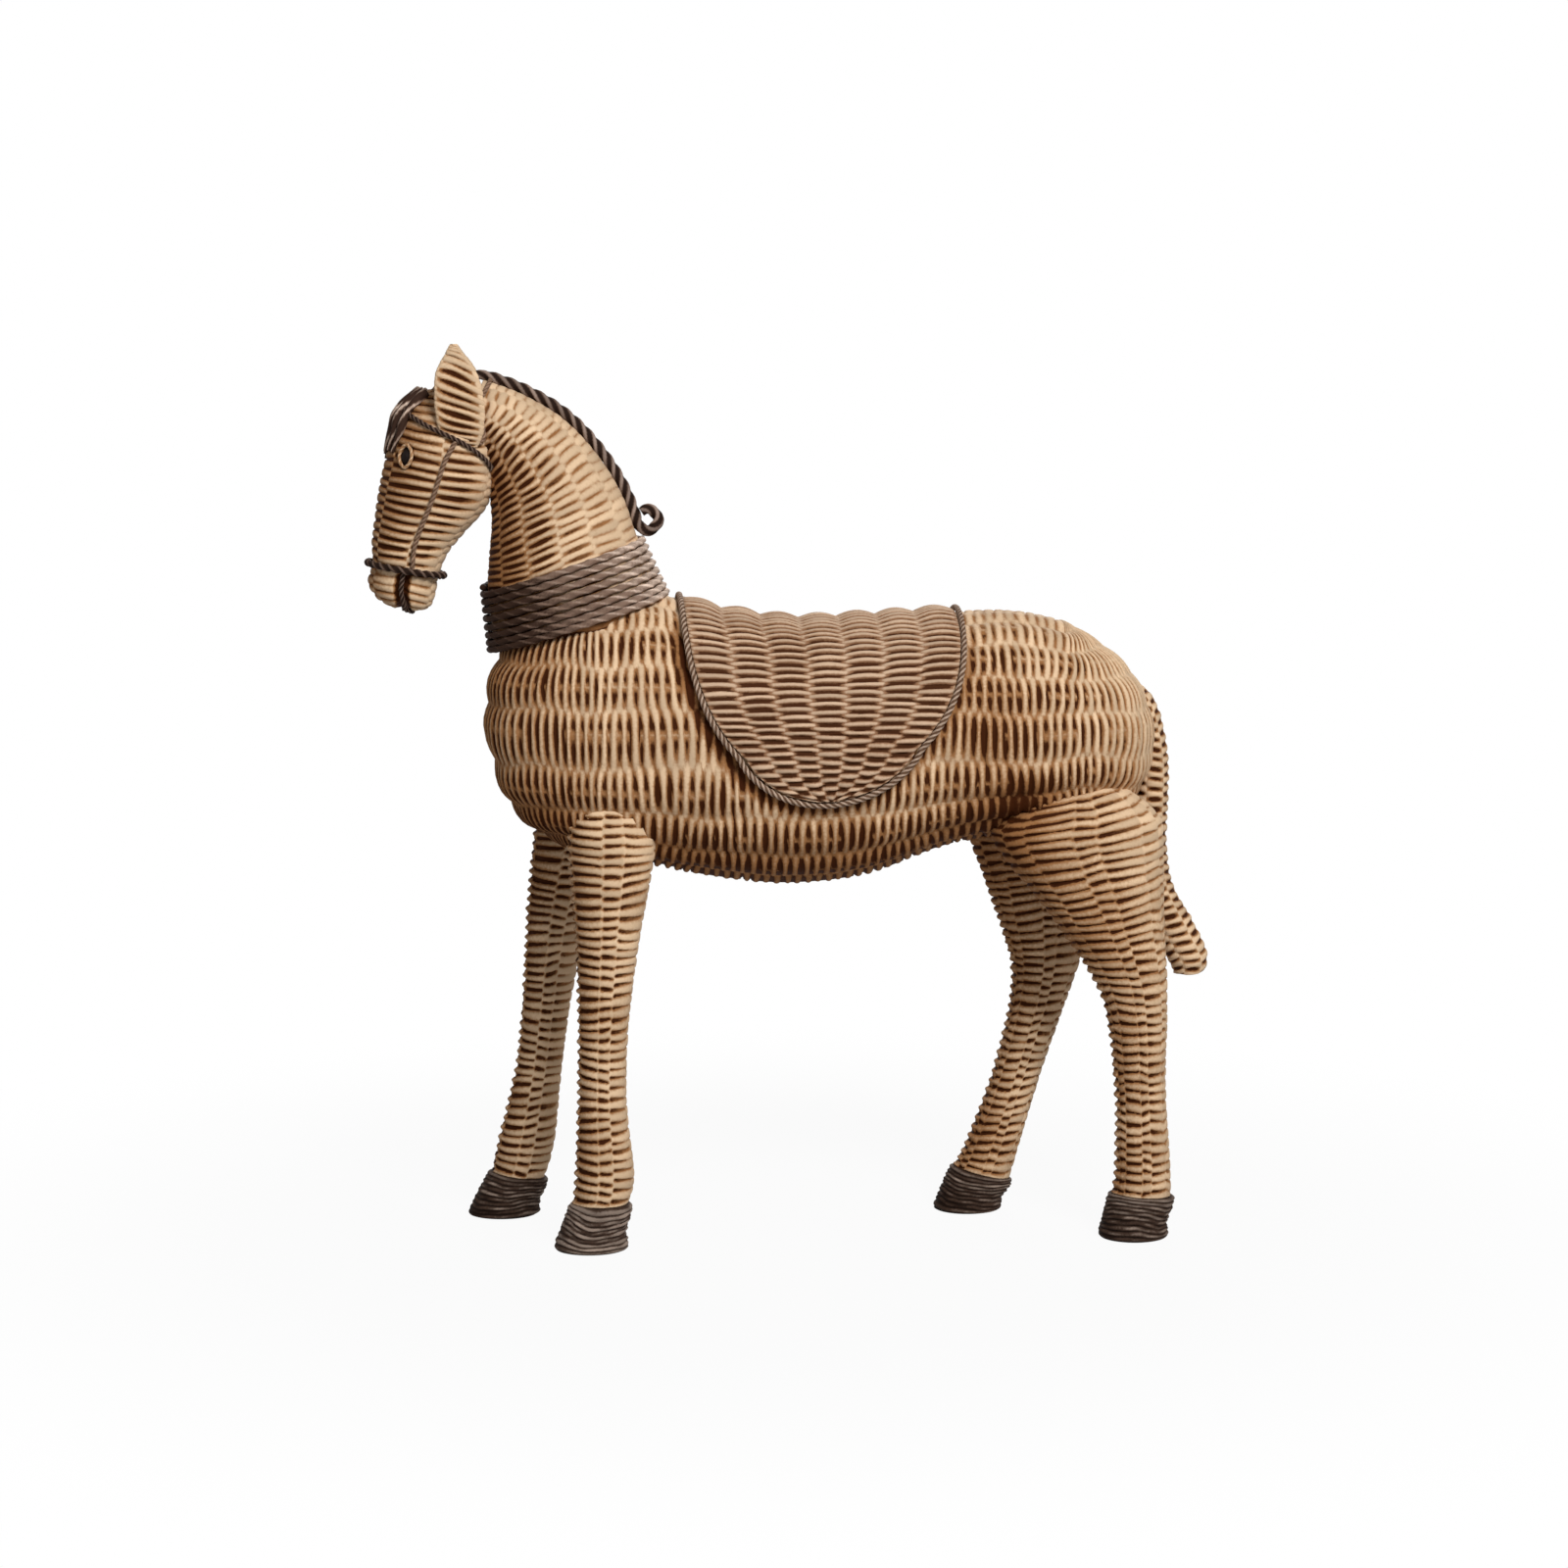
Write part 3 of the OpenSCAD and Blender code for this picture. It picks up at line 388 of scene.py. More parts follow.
def woven_skin(rows, first, last, pitch, stakes, seed, fullness=ROUND, across_steps=6, along_steps=10,
               depth=0.6, plump=0.66, pairing=0.0, start=None, close=None, carve=None, slope=None,
               level=None, turned=0.0, first_strand=0, ringed=False, knobs=0.0, knobs_end=8, **lay):
    """Points, shade and tone of a casting whose strands ring a form and whose stakes run along it.

    pairing makes every second band of strands narrow. A ringed casting has the same strands on top in
    all its bands, and knobs is how far they stand out at the front, up to the place knobs_end. start is
    the angle of the first line between bands, where the bands are as wide in degrees, or none where they
    are as wide in length and turned is the share of a ring before that line. close gives how far the gaps
    close at places and angles, carve what is cut from the skin there, and how dark, slope how many strands
    the rings climb, and level the angle at which a band lies that starts out at an angle. lay goes on to
    the weave.
    """
    places, way = even_places(rows, first, last, fullness)
    strands = max(2, round(way[-1] / pitch))
    count = strands * across_steps + 1
    t = np.interp(np.linspace(0, way[-1], count), way, places)
    columns = stakes * along_steps
    along = band_lines(columns, stakes)
    shares = (along + 0.5) / stakes
    if start is None:
        q = even_turns(rows, t, np.mod(shares + turned, 1), fullness)
    else:
        q = np.repeat(start + 360 * shares[None], count, 0)
    t = np.repeat(t[:, None], columns + 1, 1)
    base = on_form(rows, t, q if level is None else level(t, q), fullness)
    ring = base[:, :-1]
    around = np.roll(ring, -1, 1) - np.roll(ring, 1, 1)
    ahead = np.gradient(ring, axis=0)
    out = unit(np.cross(around, ahead))
    out = np.concatenate([out, out[:, :1]], 1)
    girth = np.linalg.norm(np.diff(base, axis=1), axis=2).sum(1)
    across = np.repeat(first_strand + np.linspace(0, strands, count)[:, None], columns + 1, 1)
    along = np.repeat(along[None], count, 0)
    along = along + pairing * np.sin(math.pi * along) / math.pi
    if ringed:
        band = np.rint(along)
        along = 2 * band + ringed_share * (along - band)
    if slope is not None:
        across = across - slope(t, q)
    closed = 0 if close is None else close(t, q)
    height, shade, tone = tight_weave(across, along, closed, depth, plump, seed, stakes, **lay)
    height = height * clamp(girth / slim_girth)[:, None]
    if carve is not None:
        cut, stain = carve(t, q, base)
        height = height - cut
        shade = shade + stain
    front = ramp(from_top(q), 145, 165) * ramp(t, knobs_end, knobs_end - 1)
    height = height + knobs * front * np.maximum(np.cos(math.pi * across), 0)
    return base + height[..., None] * out, shade, tone


def woven(name, *form, **lay):
    return capped_piece(name, *woven_skin(*form, **lay))


# Cords: plies twisted round each other along a path

# Three plies in a cord of radius 1: how far their centres are from its middle, and their own radius
ply_centre = 0.536
ply_radius = 0.464


def ply_tone(ply):
    """A tone for each ply, between 0 and 1, with no order to it."""
    return np.mod(np.sin(ply * 12.9898) * 43758.5453, 1)


def rope(name, path, out, size, plies=3, lay=3.4, closed=False, sides=12, step=0.5, taper=None, fill=0.66,
         groove=1.0, stain=0.0):
    """A cord of twisted plies. groove is how dark their grooves are, and stain how much darker it is along
    the path.
    """
    path = np.asarray(path, float)
    out = np.asarray(out, float)
    if closed:
        path = np.concatenate([path, path[:1]])
        out = np.concatenate([out, out[:1]])
    way = length_along(path)
    count = max(8, int(way[-1] / step))
    at = np.linspace(0, way[-1], count + 1)
    line = np.stack([np.interp(at, way, path[:, i]) for i in range(3)], 1)
    up = unit(np.stack([np.interp(at, way, out[:, i]) for i in range(3)], 1))
    ahead = np.gradient(line, axis=0)
    if closed:
        ahead[0] = line[1] - line[-2]
        ahead[-1] = ahead[0]
    ahead = unit(ahead)
    side = unit(np.cross(ahead, up))
    up = np.cross(side, ahead)
    turns = max(1, round(way[-1] / (lay * size) * plies)) / plies
    phi = np.linspace(0, 2 * math.pi, sides + 1)[None]
    twist = 2 * math.pi * turns * (at / way[-1])[:, None]
    slice_angle = 2 * math.pi / plies
    off = np.mod(phi - twist + slice_angle / 2, slice_angle) - slice_angle / 2
    if plies == 2:
        share = np.abs(np.cos(off))
    else:
        aside = ply_centre * np.sin(off)
        share = ply_centre * np.cos(off) + np.sqrt(np.maximum(ply_radius ** 2 - aside ** 2, 0))
    share = np.maximum(share, fill)
    radius = size / 2 * share
    if taper is not None:
        radius = radius * np.interp(at / way[-1], taper[0], taper[1])[:, None]
    ring = np.cos(phi)[..., None] * up[:, None] + np.sin(phi)[..., None] * side[:, None]
    points = line[:, None] + radius[..., None] * ring
    stain = np.broadcast_to(stain, len(way) - bool(closed))
    if closed:
        stain = np.append(stain, stain[0])
    shade = groove * clamp((1 - share) / (1 - fill)) ** 1.5 + np.interp(at, way, stain)[:, None]
    ply = np.floor((phi - twist + slice_angle / 2) / slice_angle)
    tone = ply_tone(ply) * np.ones_like(shade)
    if closed:
        points[-1] = points[0]
        return grid_piece(name, points, shade, tone)
    return capped_piece(name, points, shade, tone)


# Finishes

def new_material(name):
    """A material, its node tree and its shader."""
    material = bpy.data.materials.new(name)
    material.use_nodes = True
    return material, material.node_tree, material.node_tree.nodes["Principled BSDF"]


def add_node(tree, kind, inputs=None, **settings):
    """Outputs of a new node, whose inputs are set to values or linked to other nodes' outputs."""
    node = tree.nodes.new("ShaderNode" + kind)
    for setting, value in settings.items():
        setattr(node, setting, value)
    for socket, value in (inputs or {}).items():
        if isinstance(value, bpy.types.NodeSocket):
            tree.links.new(value, node.inputs[socket])
        else:
            node.inputs[socket].default_value = value
    return node.outputs


def wash_group():
    """Paint of a cast strand: a dark wash that stays in the hollows, over a tinted top coat."""
    group = bpy.data.node_groups.new("dark_wash", "ShaderNodeTree")
    for label, way, kind in (
        ("Top", "INPUT", "Color"), ("Hollow", "INPUT", "Color"), ("Stain", "INPUT", "Color"),
        ("Tint", "INPUT", "Float"), ("Color", "OUTPUT", "Color"), ("Roughness", "OUTPUT", "Float"),
        ("Height", "OUTPUT", "Float"),
    ):
        group.interface.new_socket(name=label, in_out=way, socket_type="NodeSocket" + kind)
    start = group.nodes.new("NodeGroupInput").outputs
    end = group.nodes.new("NodeGroupOutput").inputs
    shade = add_node(group, "Attribute", attribute_name="shade")["Fac"]
    tone = add_node(group, "Attribute", attribute_name="tone")["Fac"]
    where = add_node(group, "TexCoord")["Object"]
    cloud = add_node(group, "TexNoise", {"Vector": where, "Scale": 28, "Detail": 3})["Fac"]
    speck = add_node(group, "TexNoise", {"Vector": where, "Scale": 900, "Detail": 4, "Roughness": 0.7})["Fac"]
    # The tone of each strand moves its lightness a little up or down.
    spread = add_node(group, "MapRange", {"Value": tone, "To Min": -0.5, "To Max": 0.5})["Result"]
    light = add_node(group, "Math", {0: spread, 1: start["Tint"], 2: 1}, operation="MULTIPLY_ADD")["Value"]
    tinted = add_node(group, "VectorMath", {0: start["Top"], "Scale": light}, operation="SCALE")["Vector"]
    # The wash is uneven: fine specks, and slow clouds where more or less of it was wiped off.
    specked = add_node(group, "Math", {0: speck, 1: 0.5, 2: shade}, operation="MULTIPLY_ADD")["Value"]
    uneven = add_node(group, "Math", {0: cloud, 1: 0.5, 2: specked}, operation="MULTIPLY_ADD")["Value"]
    # It browns the flanks of a strand, and is darkest in the hollows.
    colour = tinted
    for label, least, most in (("Stain", 0.5, 1.02), ("Hollow", 1.0, 1.42)):
        share = add_node(group, "MapRange", {"Value": uneven, "From Min": least, "From Max": most},
                         interpolation_type="SMOOTHSTEP")["Result"]
        colour = add_node(group, "Mix", {"Factor": share, "A": colour, "B": start[label]},
                          data_type="RGBA")["Result"]
    rough = add_node(group, "MapRange", {"Value": uneven, "To Min": 0.5, "To Max": 0.75})["Result"]
    group.links.new(colour, end["Color"])
    group.links.new(rough, end["Roughness"])
    group.links.new(speck, end["Height"])
    return group


dark_wash = wash_group()
bump_strength = 0.5
bump_height = 0.0004


def paint(red, green, blue):
    """A colour written as it looks, from 0 to 255, as the linear one that a shader takes."""
    def linear(v):
        v = v / 255
        return v / 12.92 if v <= 0.04045 else ((v + 0.055) / 1.055) ** 2.4
    return (linear(red), linear(green), linear(blue), 1)


def finish(name, top, hollow, stain, tint=0.3, gloss=0.06):
    """Painted resin: the colours of its top coat, of the wash in its hollows and of the stain between."""
    material, tree, shader = new_material(name)
    surface = shader.inputs
    colours = {"Top": paint(*top), "Hollow": paint(*hollow), "Stain": paint(*stain), "Tint": tint}
    wash = add_node(tree, "Group", colours, node_tree=dark_wash)
    bumps = {"Strength": bump_strength, "Distance": bump_height, "Height": wash["Height"]}
    tree.links.new(add_node(tree, "Bump", bumps)["Normal"], surface["Normal"])
    tree.links.new(wash["Color"], surface["Base Color"])
    tree.links.new(wash["Roughness"], surface["Roughness"])
    surface["Specular IOR Level"].default_value = gloss
    return material


cane_finish = finish("cane_tan", (216, 186, 152), (60, 27, 7), (152, 106, 66))
blanket_finish = finish("blanket_brown", (197, 168, 141), (68, 37, 18), (140, 102, 74))
edging_finish = finish("edging_grey", (180, 158, 140), (92, 68, 52), (140, 115, 96), 0.35)
wrap_finish = finish("wrap_grey", (226, 203, 185), (58, 40, 31), (128, 104, 89), 0.5)
mane_finish = finish("mane_dark", (140, 121, 110), (36, 23, 17), (82, 63, 52), 0.6)
strap_finish = finish("strap_brown", (146, 118, 98), (52, 32, 20), (104, 78, 60), 0.4)
hoof_finish = finish("hoof_dark", (142, 125, 113), (26, 15, 9), (64, 48, 39), 0.7)
eye_finish = finish("eye_dark", (22, 13, 9), (10, 6, 4), (22, 13, 9), 0.1, gloss=0.1)


# Torso, neck and head

def tight_back(t, q):
    """Gaps close towards the middle of the back."""
    return ramp(from_top(q), 50, 0)


def tight_crest(t, q):
    """Gaps close towards the crest of the neck."""
    return ramp(from_top(q), 110, 15)


def throat_painted_shade(t, q, base):
    """Painted shade at the throat, and a painted shadow under the cord wrap, where the neck is drawn in."""
    below_wrap = ramp(t, 1.1, 0.9)
    return 2 * below_wrap, 0.4 * ramp(from_top(q), 80, 140) + 0.6 * below_wrap


def tight_face(t, q):
    """Gaps close at the jaw and down the front of the face, and in part at the muzzle and the brow."""
    edges = np.maximum(ramp(from_top(q), 60, 35), 0.72 * ramp(from_top(q), 150, 180))
    muzzle = 0.65 * ramp(t, 2.9, 2.6)
    brow = 0.5 * ramp(t, 7.6, 8)
    return clamp(np.maximum(edges, muzzle + brow))


def mouth_slit(t, base):
    """The slit that runs up each side of the muzzle, under the mouth cord."""
    row = smooth(head_rows, t)
    tilt = np.radians(row[..., 5])
    aside = (base[..., 0] - row[..., 0]) * np.cos(tilt) + (base[..., 2] - row[..., 2]) * np.sin(tilt)
    near = clamp(1 - (aside / 3.4) ** 2) * ramp(t, 2.95, 2.7)
    return 2.4 * near, clamp(1.8 * near)


eye_row = 7.4
eye_angle = 130
eye_hollow = (2.6, 4.2, 8)


def eye_frame(side):
    """The eye's place on the head, the way out of it, and its two directions on the skin."""
    centre, out = skin(head_rows, eye_row, side * eye_angle, 0)
    flat = unit(np.array([out[1], -out[0], 0]))
    return centre, out, flat, np.cross(out, flat)


def face_cuts(t, q, base):
    """The mouth slit and the almond hollows of the eyes, both darker, and painted shade down the front of the
    face.
    """
    cut, stain = mouth_slit(t, base)
    # Painted shade down the front of the face, the side away from the light.
    stain = np.maximum(stain, 0.25 * ramp(from_top(q), 95, 135))
    for side in (LEFT, RIGHT):
        centre, out, flat, tall = eye_frame(side)
        from_eye = base - centre
        shares = [from_eye @ way / half for way, half in zip((flat, tall, out), eye_hollow)]
        reach = np.sqrt(shares[0] ** 2 + shares[1] ** 2 + shares[2] ** 2)
        hollow = ramp(reach, 1.35, 0.35)
        cut = np.maximum(cut, 1.8 * hollow)
        stain = np.maximum(stain, clamp(1.6 * hollow))
    return cut, stain


# The blanket's outline is worked out from these, and so is the painted shadow round it.
blanket_middle = 10
blanket_half_length = 52.5
blanket_drop = 101
blanket_sweep = 1.5
seat_gap = 0.15

torso_bands = 18
band_depth = 1.4
torso_pitch = 1.975
torso_steps = 4
torso_columns = 8
torso_depth = 0.6
torso_plump = 0.6
torso_lay = {"stiff": 1.2, "bridges": 0.45, "wander": 0.45, "sway": 0.6, "stray": 0.08}
torso_seed = 11
breast_axis = -75
breast_strands = 71
rump_axis = 105
rump_strands = 61
barrel_first_strand = 100
torso_fine = np.linspace(0, len(torso_rows) - 1, 3000)
torso_x = smooth(torso_rows, torso_fine)[:, 0]


def torso_row_at(x):
    """Places on the torso at x."""
    return np.interp(-np.asarray(x, float), -torso_x, torso_fine)


def band_dip(q):
    """How deep the skin lies at angles q, most at the lines between the torso's bands."""
    return band_depth * (1 - np.abs(np.sin(np.radians(q * torso_bands / 2))))


def belly_painted_shade(q):
    """Painted shade towards the belly, where less light falls."""
    return 0.42 * ramp(from_top(q), 95, 140)


blanket_reach = 46
edging_shadow_from_edge = 3
edging_shadow_half_width = 4


def edging_painted_shadow(x, q):
    """A painted shadow beside the blanket's edging, strongest in front of it, away from the light."""
    ahead = blanket_middle - x
    outline = np.sqrt((ahead / blanket_half_length) ** 2 + (from_top(q) / blanket_drop) ** 4)
    beyond = blanket_reach * (outline - 1)
    share = (0.3 + 0.5 * ramp(ahead, 0, 30)) * ramp(from_top(q), 25, 50)
    return share * ramp(np.abs(beyond - edging_shadow_from_edge), edging_shadow_half_width, 0)


fold_spot = (85, 171)
flank_spot = (76, 200)


def fold_shade_and_flank_darkening(base):
    """Painted shade in the fold in front of each haunch, and a little darker on the flank above it."""
    x = base[..., 0]
    z = base[..., 2]
    fold = 0.5 * np.exp(-((x - fold_spot[0]) ** 2 + (z - fold_spot[1]) ** 2) / 150)
    flank = 0.28 * np.exp(-((x - flank_spot[0]) / 20) ** 2 - ((z - flank_spot[1]) / 22) ** 2)
    return np.maximum(fold, flank)


def level_band(t, q):
    """The angle at which a band lies so that it runs level between the breast and the rump."""
    row = smooth(torso_rows, t)
    ends = smooth(torso_rows, torso_row_at([breast_axis, rump_axis]))
    level_z = np.interp(row[..., 0], [breast_axis, rump_axis], ends[:, 2])
    climb = np.degrees(np.arcsin((level_z - row[..., 2]) / row[..., 3]))
    return q - climb * np.sin(np.radians(q))


def barrel_cuts(t, q, base):
    """The lines between the torso's bands, and painted shade on the belly, in the fold before each haunch and
    beside the blanket, with a darker flank.
    """
    lies = level_band(t, q)
    return band_dip(q), belly_painted_shade(lies) + edging_painted_shadow(base[..., 0], lies) + fold_shade_and_flank_darkening(base)


def torso_half_width(x, z):
    """Half the torso's width at x and height z, nothing where it doesn't reach."""
    row = smooth(torso_rows, torso_row_at(x))
    up = z - row[..., 2]
    power = np.where(up > 0, *torso_fullness)
    share = clamp(1 - (np.abs(up) / row[..., 3]) ** power)
    on_torso = (x < torso_x[0]) & (x > torso_x[-1])
    return on_torso * row[..., 4] * share ** (1 / power)


farthest_reach = 80.0


def end_points(axis, way, turn, z):
    """Points of an end of the torso at turns round an upright axis, 0 straight out of it, and heights."""
    turn, z = np.broadcast_arrays(turn, z)
    near = np.zeros(turn.shape)
    far = np.full(turn.shape, farthest_reach)
    for halving in range(30):
        reach = (near + far) / 2
        inside = torso_half_width(axis + way * reach * np.cos(turn), z) > reach * np.abs(np.sin(turn))
        near = np.where(inside, reach, near)
        far = np.where(inside, far, reach)
    return np.stack([axis + way * near * np.cos(turn), near * np.sin(turn), z], -1)


def torso_end(name, axis, way, first_strand, strands, ring, wash, calm):
    """The breast or the rump: strands stand upright round it, and its bands lie level.

    ring holds the points, shade and tone of the barrel's last ring, which the end's outer strands share.
    wash is painted shade on the end straight ahead, and calm closes the gaps and evens out the band lines
    there.
    """
    middle = torso_bands * torso_columns // 2
    along = band_lines(2 * middle, torso_bands)[middle:]
    q = 360 * (along + 0.5) / torso_bands
    row = smooth(torso_rows, torso_row_at(axis))
    up = np.cos(np.radians(q))
    z = row[2] + row[3] * full(up, np.where(up > 0, *torso_fullness))
    fine = np.radians(np.linspace(-90, 90, 721))
    arc = length_along(end_points(axis, way, fine, row[2]))
    count = strands * torso_steps + 1
    turn = np.interp(np.linspace(0, arc[-1], count), arc, fine)
    turn = turn if way < 0 else turn[::-1]
    base = end_points(axis, way, turn[:, None], z[None])
    out = unit(np.cross(np.gradient(base, axis=1), np.gradient(base, axis=0)))
    shape = (count, middle + 1)
    across = np.broadcast_to(first_strand + np.linspace(0, strands, count)[:, None], shape)
    along = np.broadcast_to(along, shape)
    ahead = np.cos(turn)[:, None]
    closed = np.maximum(np.broadcast_to(tight_back(None, q), shape), calm * ahead)
    height, shade, tone = tight_weave(across, along, closed, torso_depth, torso_plump, torso_seed,
                                      torso_bands, **torso_lay)
    # Painted shade on the belly, and on the end straight ahead.
    shade = shade + belly_painted_shade(q) + wash * ahead
    height = height - band_dip(q) * (1 - calm * ahead)
    from_axis = np.hypot(base[..., 0] - axis, base[..., 1])
    points = base + (height * ramp(from_axis, 0, 10))[..., None] * out
    for skin_part, edge in zip((points, shade, tone), ring):
        sides = (edge[middle:], edge[middle::-1])
        skin_part[0], skin_part[-1] = sides if way < 0 else sides[::-1]
    return grid_piece(name, points, shade, tone)


def torso():
    """The barrel, whose strands are rings, with the breast and the rump on its ends."""
    first, last = torso_row_at([rump_axis, breast_axis])
    barrel = woven_skin(torso_rows, first, last, torso_pitch, torso_bands, torso_seed, torso_fullness,
                        across_steps=torso_steps, along_steps=torso_columns, start=0, close=tight_back,
                        carve=barrel_cuts, level=level_band, first_strand=barrel_first_strand,
                        depth=torso_depth, plump=torso_plump, **torso_lay)
    after_barrel = barrel_first_strand + (len(barrel[0]) - 1) // torso_steps
    front_ring = [values[-1] for values in barrel]
    rear_ring = [values[0] for values in barrel]
    return joined([
        grid_piece("torso_weave", *barrel),
        # The breast's wash is painted shade on its front, the side away from the light.
        torso_end("breast", breast_axis, -1, after_barrel, breast_strands, front_ring, wash=0.3, calm=0),
        torso_end("rump", rump_axis, 1, barrel_first_strand - rump_strands, rump_strands, rear_ring,
                  wash=0, calm=0.7),
    ])


place(torso(), "cane", cane_finish, "torso")
place(woven("neck_weave", neck_rows, 0.2, 7, pitch=1.7, stakes=12, seed=12, depth=0.5, close=tight_crest,
            carve=throat_painted_shade, stiff=1.3, sway=0.4, wander=0.5, stray=0.08, crown=0.7),
      "cane", cane_finish, "neck")
place(woven("head_weave", head_rows, 0, 10, pitch=1.8, stakes=6, seed=13, depth=0.5, plump=0.7,
            along_steps=22, start=30, close=tight_face, carve=face_cuts, tip=0.8, square=1.6, stiff=3),
      "cane", cane_finish, "head")
place(woven("tail_weave", tail_rows, 0, 7, pitch=1.98, stakes=6, seed=14), "cane", cane_finish, "tail")


# Legs

def haunch_slope(t, q):
    """Strands of a haunch climb towards the rear."""
    return 3 * ramp(t, 3, 4.5) * np.cos(np.radians(q))


def tight_rear(t, q):
    """Gaps close towards the rear of a leg."""
    return 0.7 * ramp(from_top(q), 78, 18)


def front_leg_painted_shade(t, q, base):
    """Painted shade on the front of a leg, the side away from the light."""
    return 0, 0.3 * ((1 - np.cos(np.radians(q))) / 2) ** 3


def hind_leg_painted_shade(t, q, base):
    """Painted shade on the front of a hind leg, most of all on the haunch, and a little darker all over below
    it.
    """
    front = ((1 - np.cos(np.radians(q))) / 2) ** 2
    return 0, 0.06 * ramp(t, 6, 4) + (0.25 + 0.45 * ramp(t, 4, 6)) * front


leg_lay = {"pitch": 1.95, "depth": 0.65, "plump": 0.58, "pairing": 0.6, "ringed": True, "knobs": 0.7,
           "tip": 0.85, "square": 1.6, "wander": 0.6, "stiff": 1.2, "crown": 0.65, "seams": 0.85,
           "close": tight_rear}
front_leg_lay = {"stakes": 8, "carve": front_leg_painted_shade, "turned": -0.0625, "along_steps": 16, "fade": 0.45}
hind_leg_lay = {"stakes": 12, "carve": hind_leg_painted_shade, "turned": 0.0417, "along_steps": 12, "fade": 0.6,
                "slope": haunch_slope, "knobs_end": 4.5}
leg_seeds = {"front_left": 50, "front_right": 53, "hind_left": 47, "hind_right": 50}
for name, rows in legs.items():
    lay = front_leg_lay if name.startswith("front") else hind_leg_lay
    place(woven(name + "_leg_weave", rows, 0, 8, seed=leg_seeds[name], **lay, **leg_lay),
          "cane", cane_finish, name + "_leg")


# Hooves: thin cord wound in uneven turns round a block

hoof_turns = 10
hoof_sides = 96
hoof_shades = 64
front_toe = 4
hind_toe = 2.5


def hoof(name, rows, seed, toe_reach, stain):
    """A hoof under the leg with these rows. Its toe reaches forward, and stain makes it darker all over, or
    lighter where it is negative.
    """
    top = rows[0]
    steps = hoof_turns * 8
    rng = np.random.default_rng(seed)
    u = np.linspace(0, 1, steps + 1)[:, None]
    q = np.linspace(0, 2 * math.pi, hoof_sides + 1)[None]
    wander = np.zeros((steps + 1, hoof_sides + 1))
    for lobes in (1, 2, 3, 5):
        slope = rng.uniform(-3, 3)
        wander += np.sin(lobes * q + slope * u + rng.uniform(0, 6)) / lobes
    inside = np.sin(math.pi * clamp(u)) ** 0.5
    turn = hoof_turns * u + 0.8 * wander * inside
    swell = np.abs(np.sin(math.pi * turn)) ** 0.6
    which = np.mod(np.floor(turn).astype(int), hoof_shades)
    thick = rng.uniform(0.55, 1, hoof_shades)[which]
    tint = rng.uniform(0, 1, hoof_shades)[which]
    down = 1 - u
    heel = (1 + np.cos(q)) / 2
    waist = 1.3 * heel * np.sin(math.pi * clamp(1.25 * u)) ** 2
    rim = 1.6 * ramp(u, 0.93, 1) ** 2
    foot = 0.8 * ramp(u, 0.12, 0) ** 2
    lumps = 0.18 * np.sin(5 * q + 3 * turn) + 0.12 * np.sin(11 * q - 5 * turn)
    half = 0.9 + down + 0.75 * swell * thick - waist - rim - foot + lumps * inside
    tilt = np.radians(top[5] * u)
    depth = (top[3] + half + (toe_reach - hind_toe) * down) * np.cos(q)
    centre_x = top[0] + (top[2] * math.tan(math.radians(top[5])) - toe_reach) * down
    x = centre_x + depth * np.cos(tilt)
    y = top[1] + (top[4] + half) * np.sin(q)
    z = top[2] * u + depth * np.sin(tilt)
    points = np.stack([x, y, np.maximum(z, 0)], -1)
    points[:, -1] = points[:, 0]
    # Painted shade on the toe, most towards the bottom, away from the light.
    toe = (1 - np.cos(q)) / 2
    shade = clamp(0.9 - swell * thick) + 0.4 * toe * down + 0.8 * lumps * inside + stain
    tone = tint * (0.75 + 0.25 * np.sin(3 * q + 4 * u))
    return capped_piece(name, points, shade, tone)


# How much darker each hoof is all over; below 0 it is lighter.
hoof_darkening = {"front_left": -0.1, "front_right": 0.12, "hind_left": 0.12, "hind_right": 0.15}
for seed, (name, rows) in enumerate(legs.items()):
    toe_reach = front_toe if name.startswith("front") else hind_toe
    place(hoof(name + "_hoof_wound", rows, seed, toe_reach, hoof_darkening[name]),
          "hoof", hoof_finish, name + "_hoof")


# Saddle blanket: a woven cloth over the back, cut to a U on each side

def torso_level(x, q):
    """Heights of the torso's skin."""
    return on_form(torso_rows, torso_row_at(x), q, torso_fullness)[..., 2]


def blanket_spots(turn, middle, half, share):
    """Places, along the torso and round it, of the blanket's strands at these shares of their length.

    On the back a strand follows the torso's rings. Down the sides it lies level, from edge to edge.
    """
    q = blanket_drop * np.sin(np.radians(turn))[:, None]
    flat = ramp(np.abs(q), 15, 60)
    mid_level = torso_level(middle, q)
    ends = []
    for way in (-1, 1):
        edge = middle + way * half
        edge_level = torso_level(edge, q)
        wanted = flat * mid_level + (1 - flat) * edge_level
        end = edge.copy()
        for side in (turn < 0, turn > 0):
            order = np.argsort(edge_level[side, 0])
            end[side, 0] = np.interp(wanted[side, 0], edge_level[side, 0][order], edge[side, 0][order])
        ends.append(end - middle)
    x = middle + np.where(share < 0, -share * ends[0], share * ends[1])
    row = smooth(torso_rows, torso_row_at(x))
    level = flat * mid_level + (1 - flat) * torso_level(x, np.broadcast_to(q, x.shape))
    up = np.clip((level - row[..., 2]) / row[..., 3], -1, 1)
    power = np.where(up > 0, *torso_fullness)
    return x, np.sign(q) * np.degrees(np.arccos(np.sign(up) * np.abs(up) ** (power / 2)))


blanket_strands = 114
blanket_strand_steps = 5
blanket_columns = 7
blanket_column_steps = 14
blanket_edge_stake = 9.5
blanket_thickness = 2.85
underside_columns = 9
blanket_lay = {"depth": 0.6, "seed": 31, "stakes": 40, "tip": 0.6, "stiff": 1.15, "dive": 0.1, "wander": 0.5,
               "sway": 0.35, "stray": 0.06, "crown": 0.75}


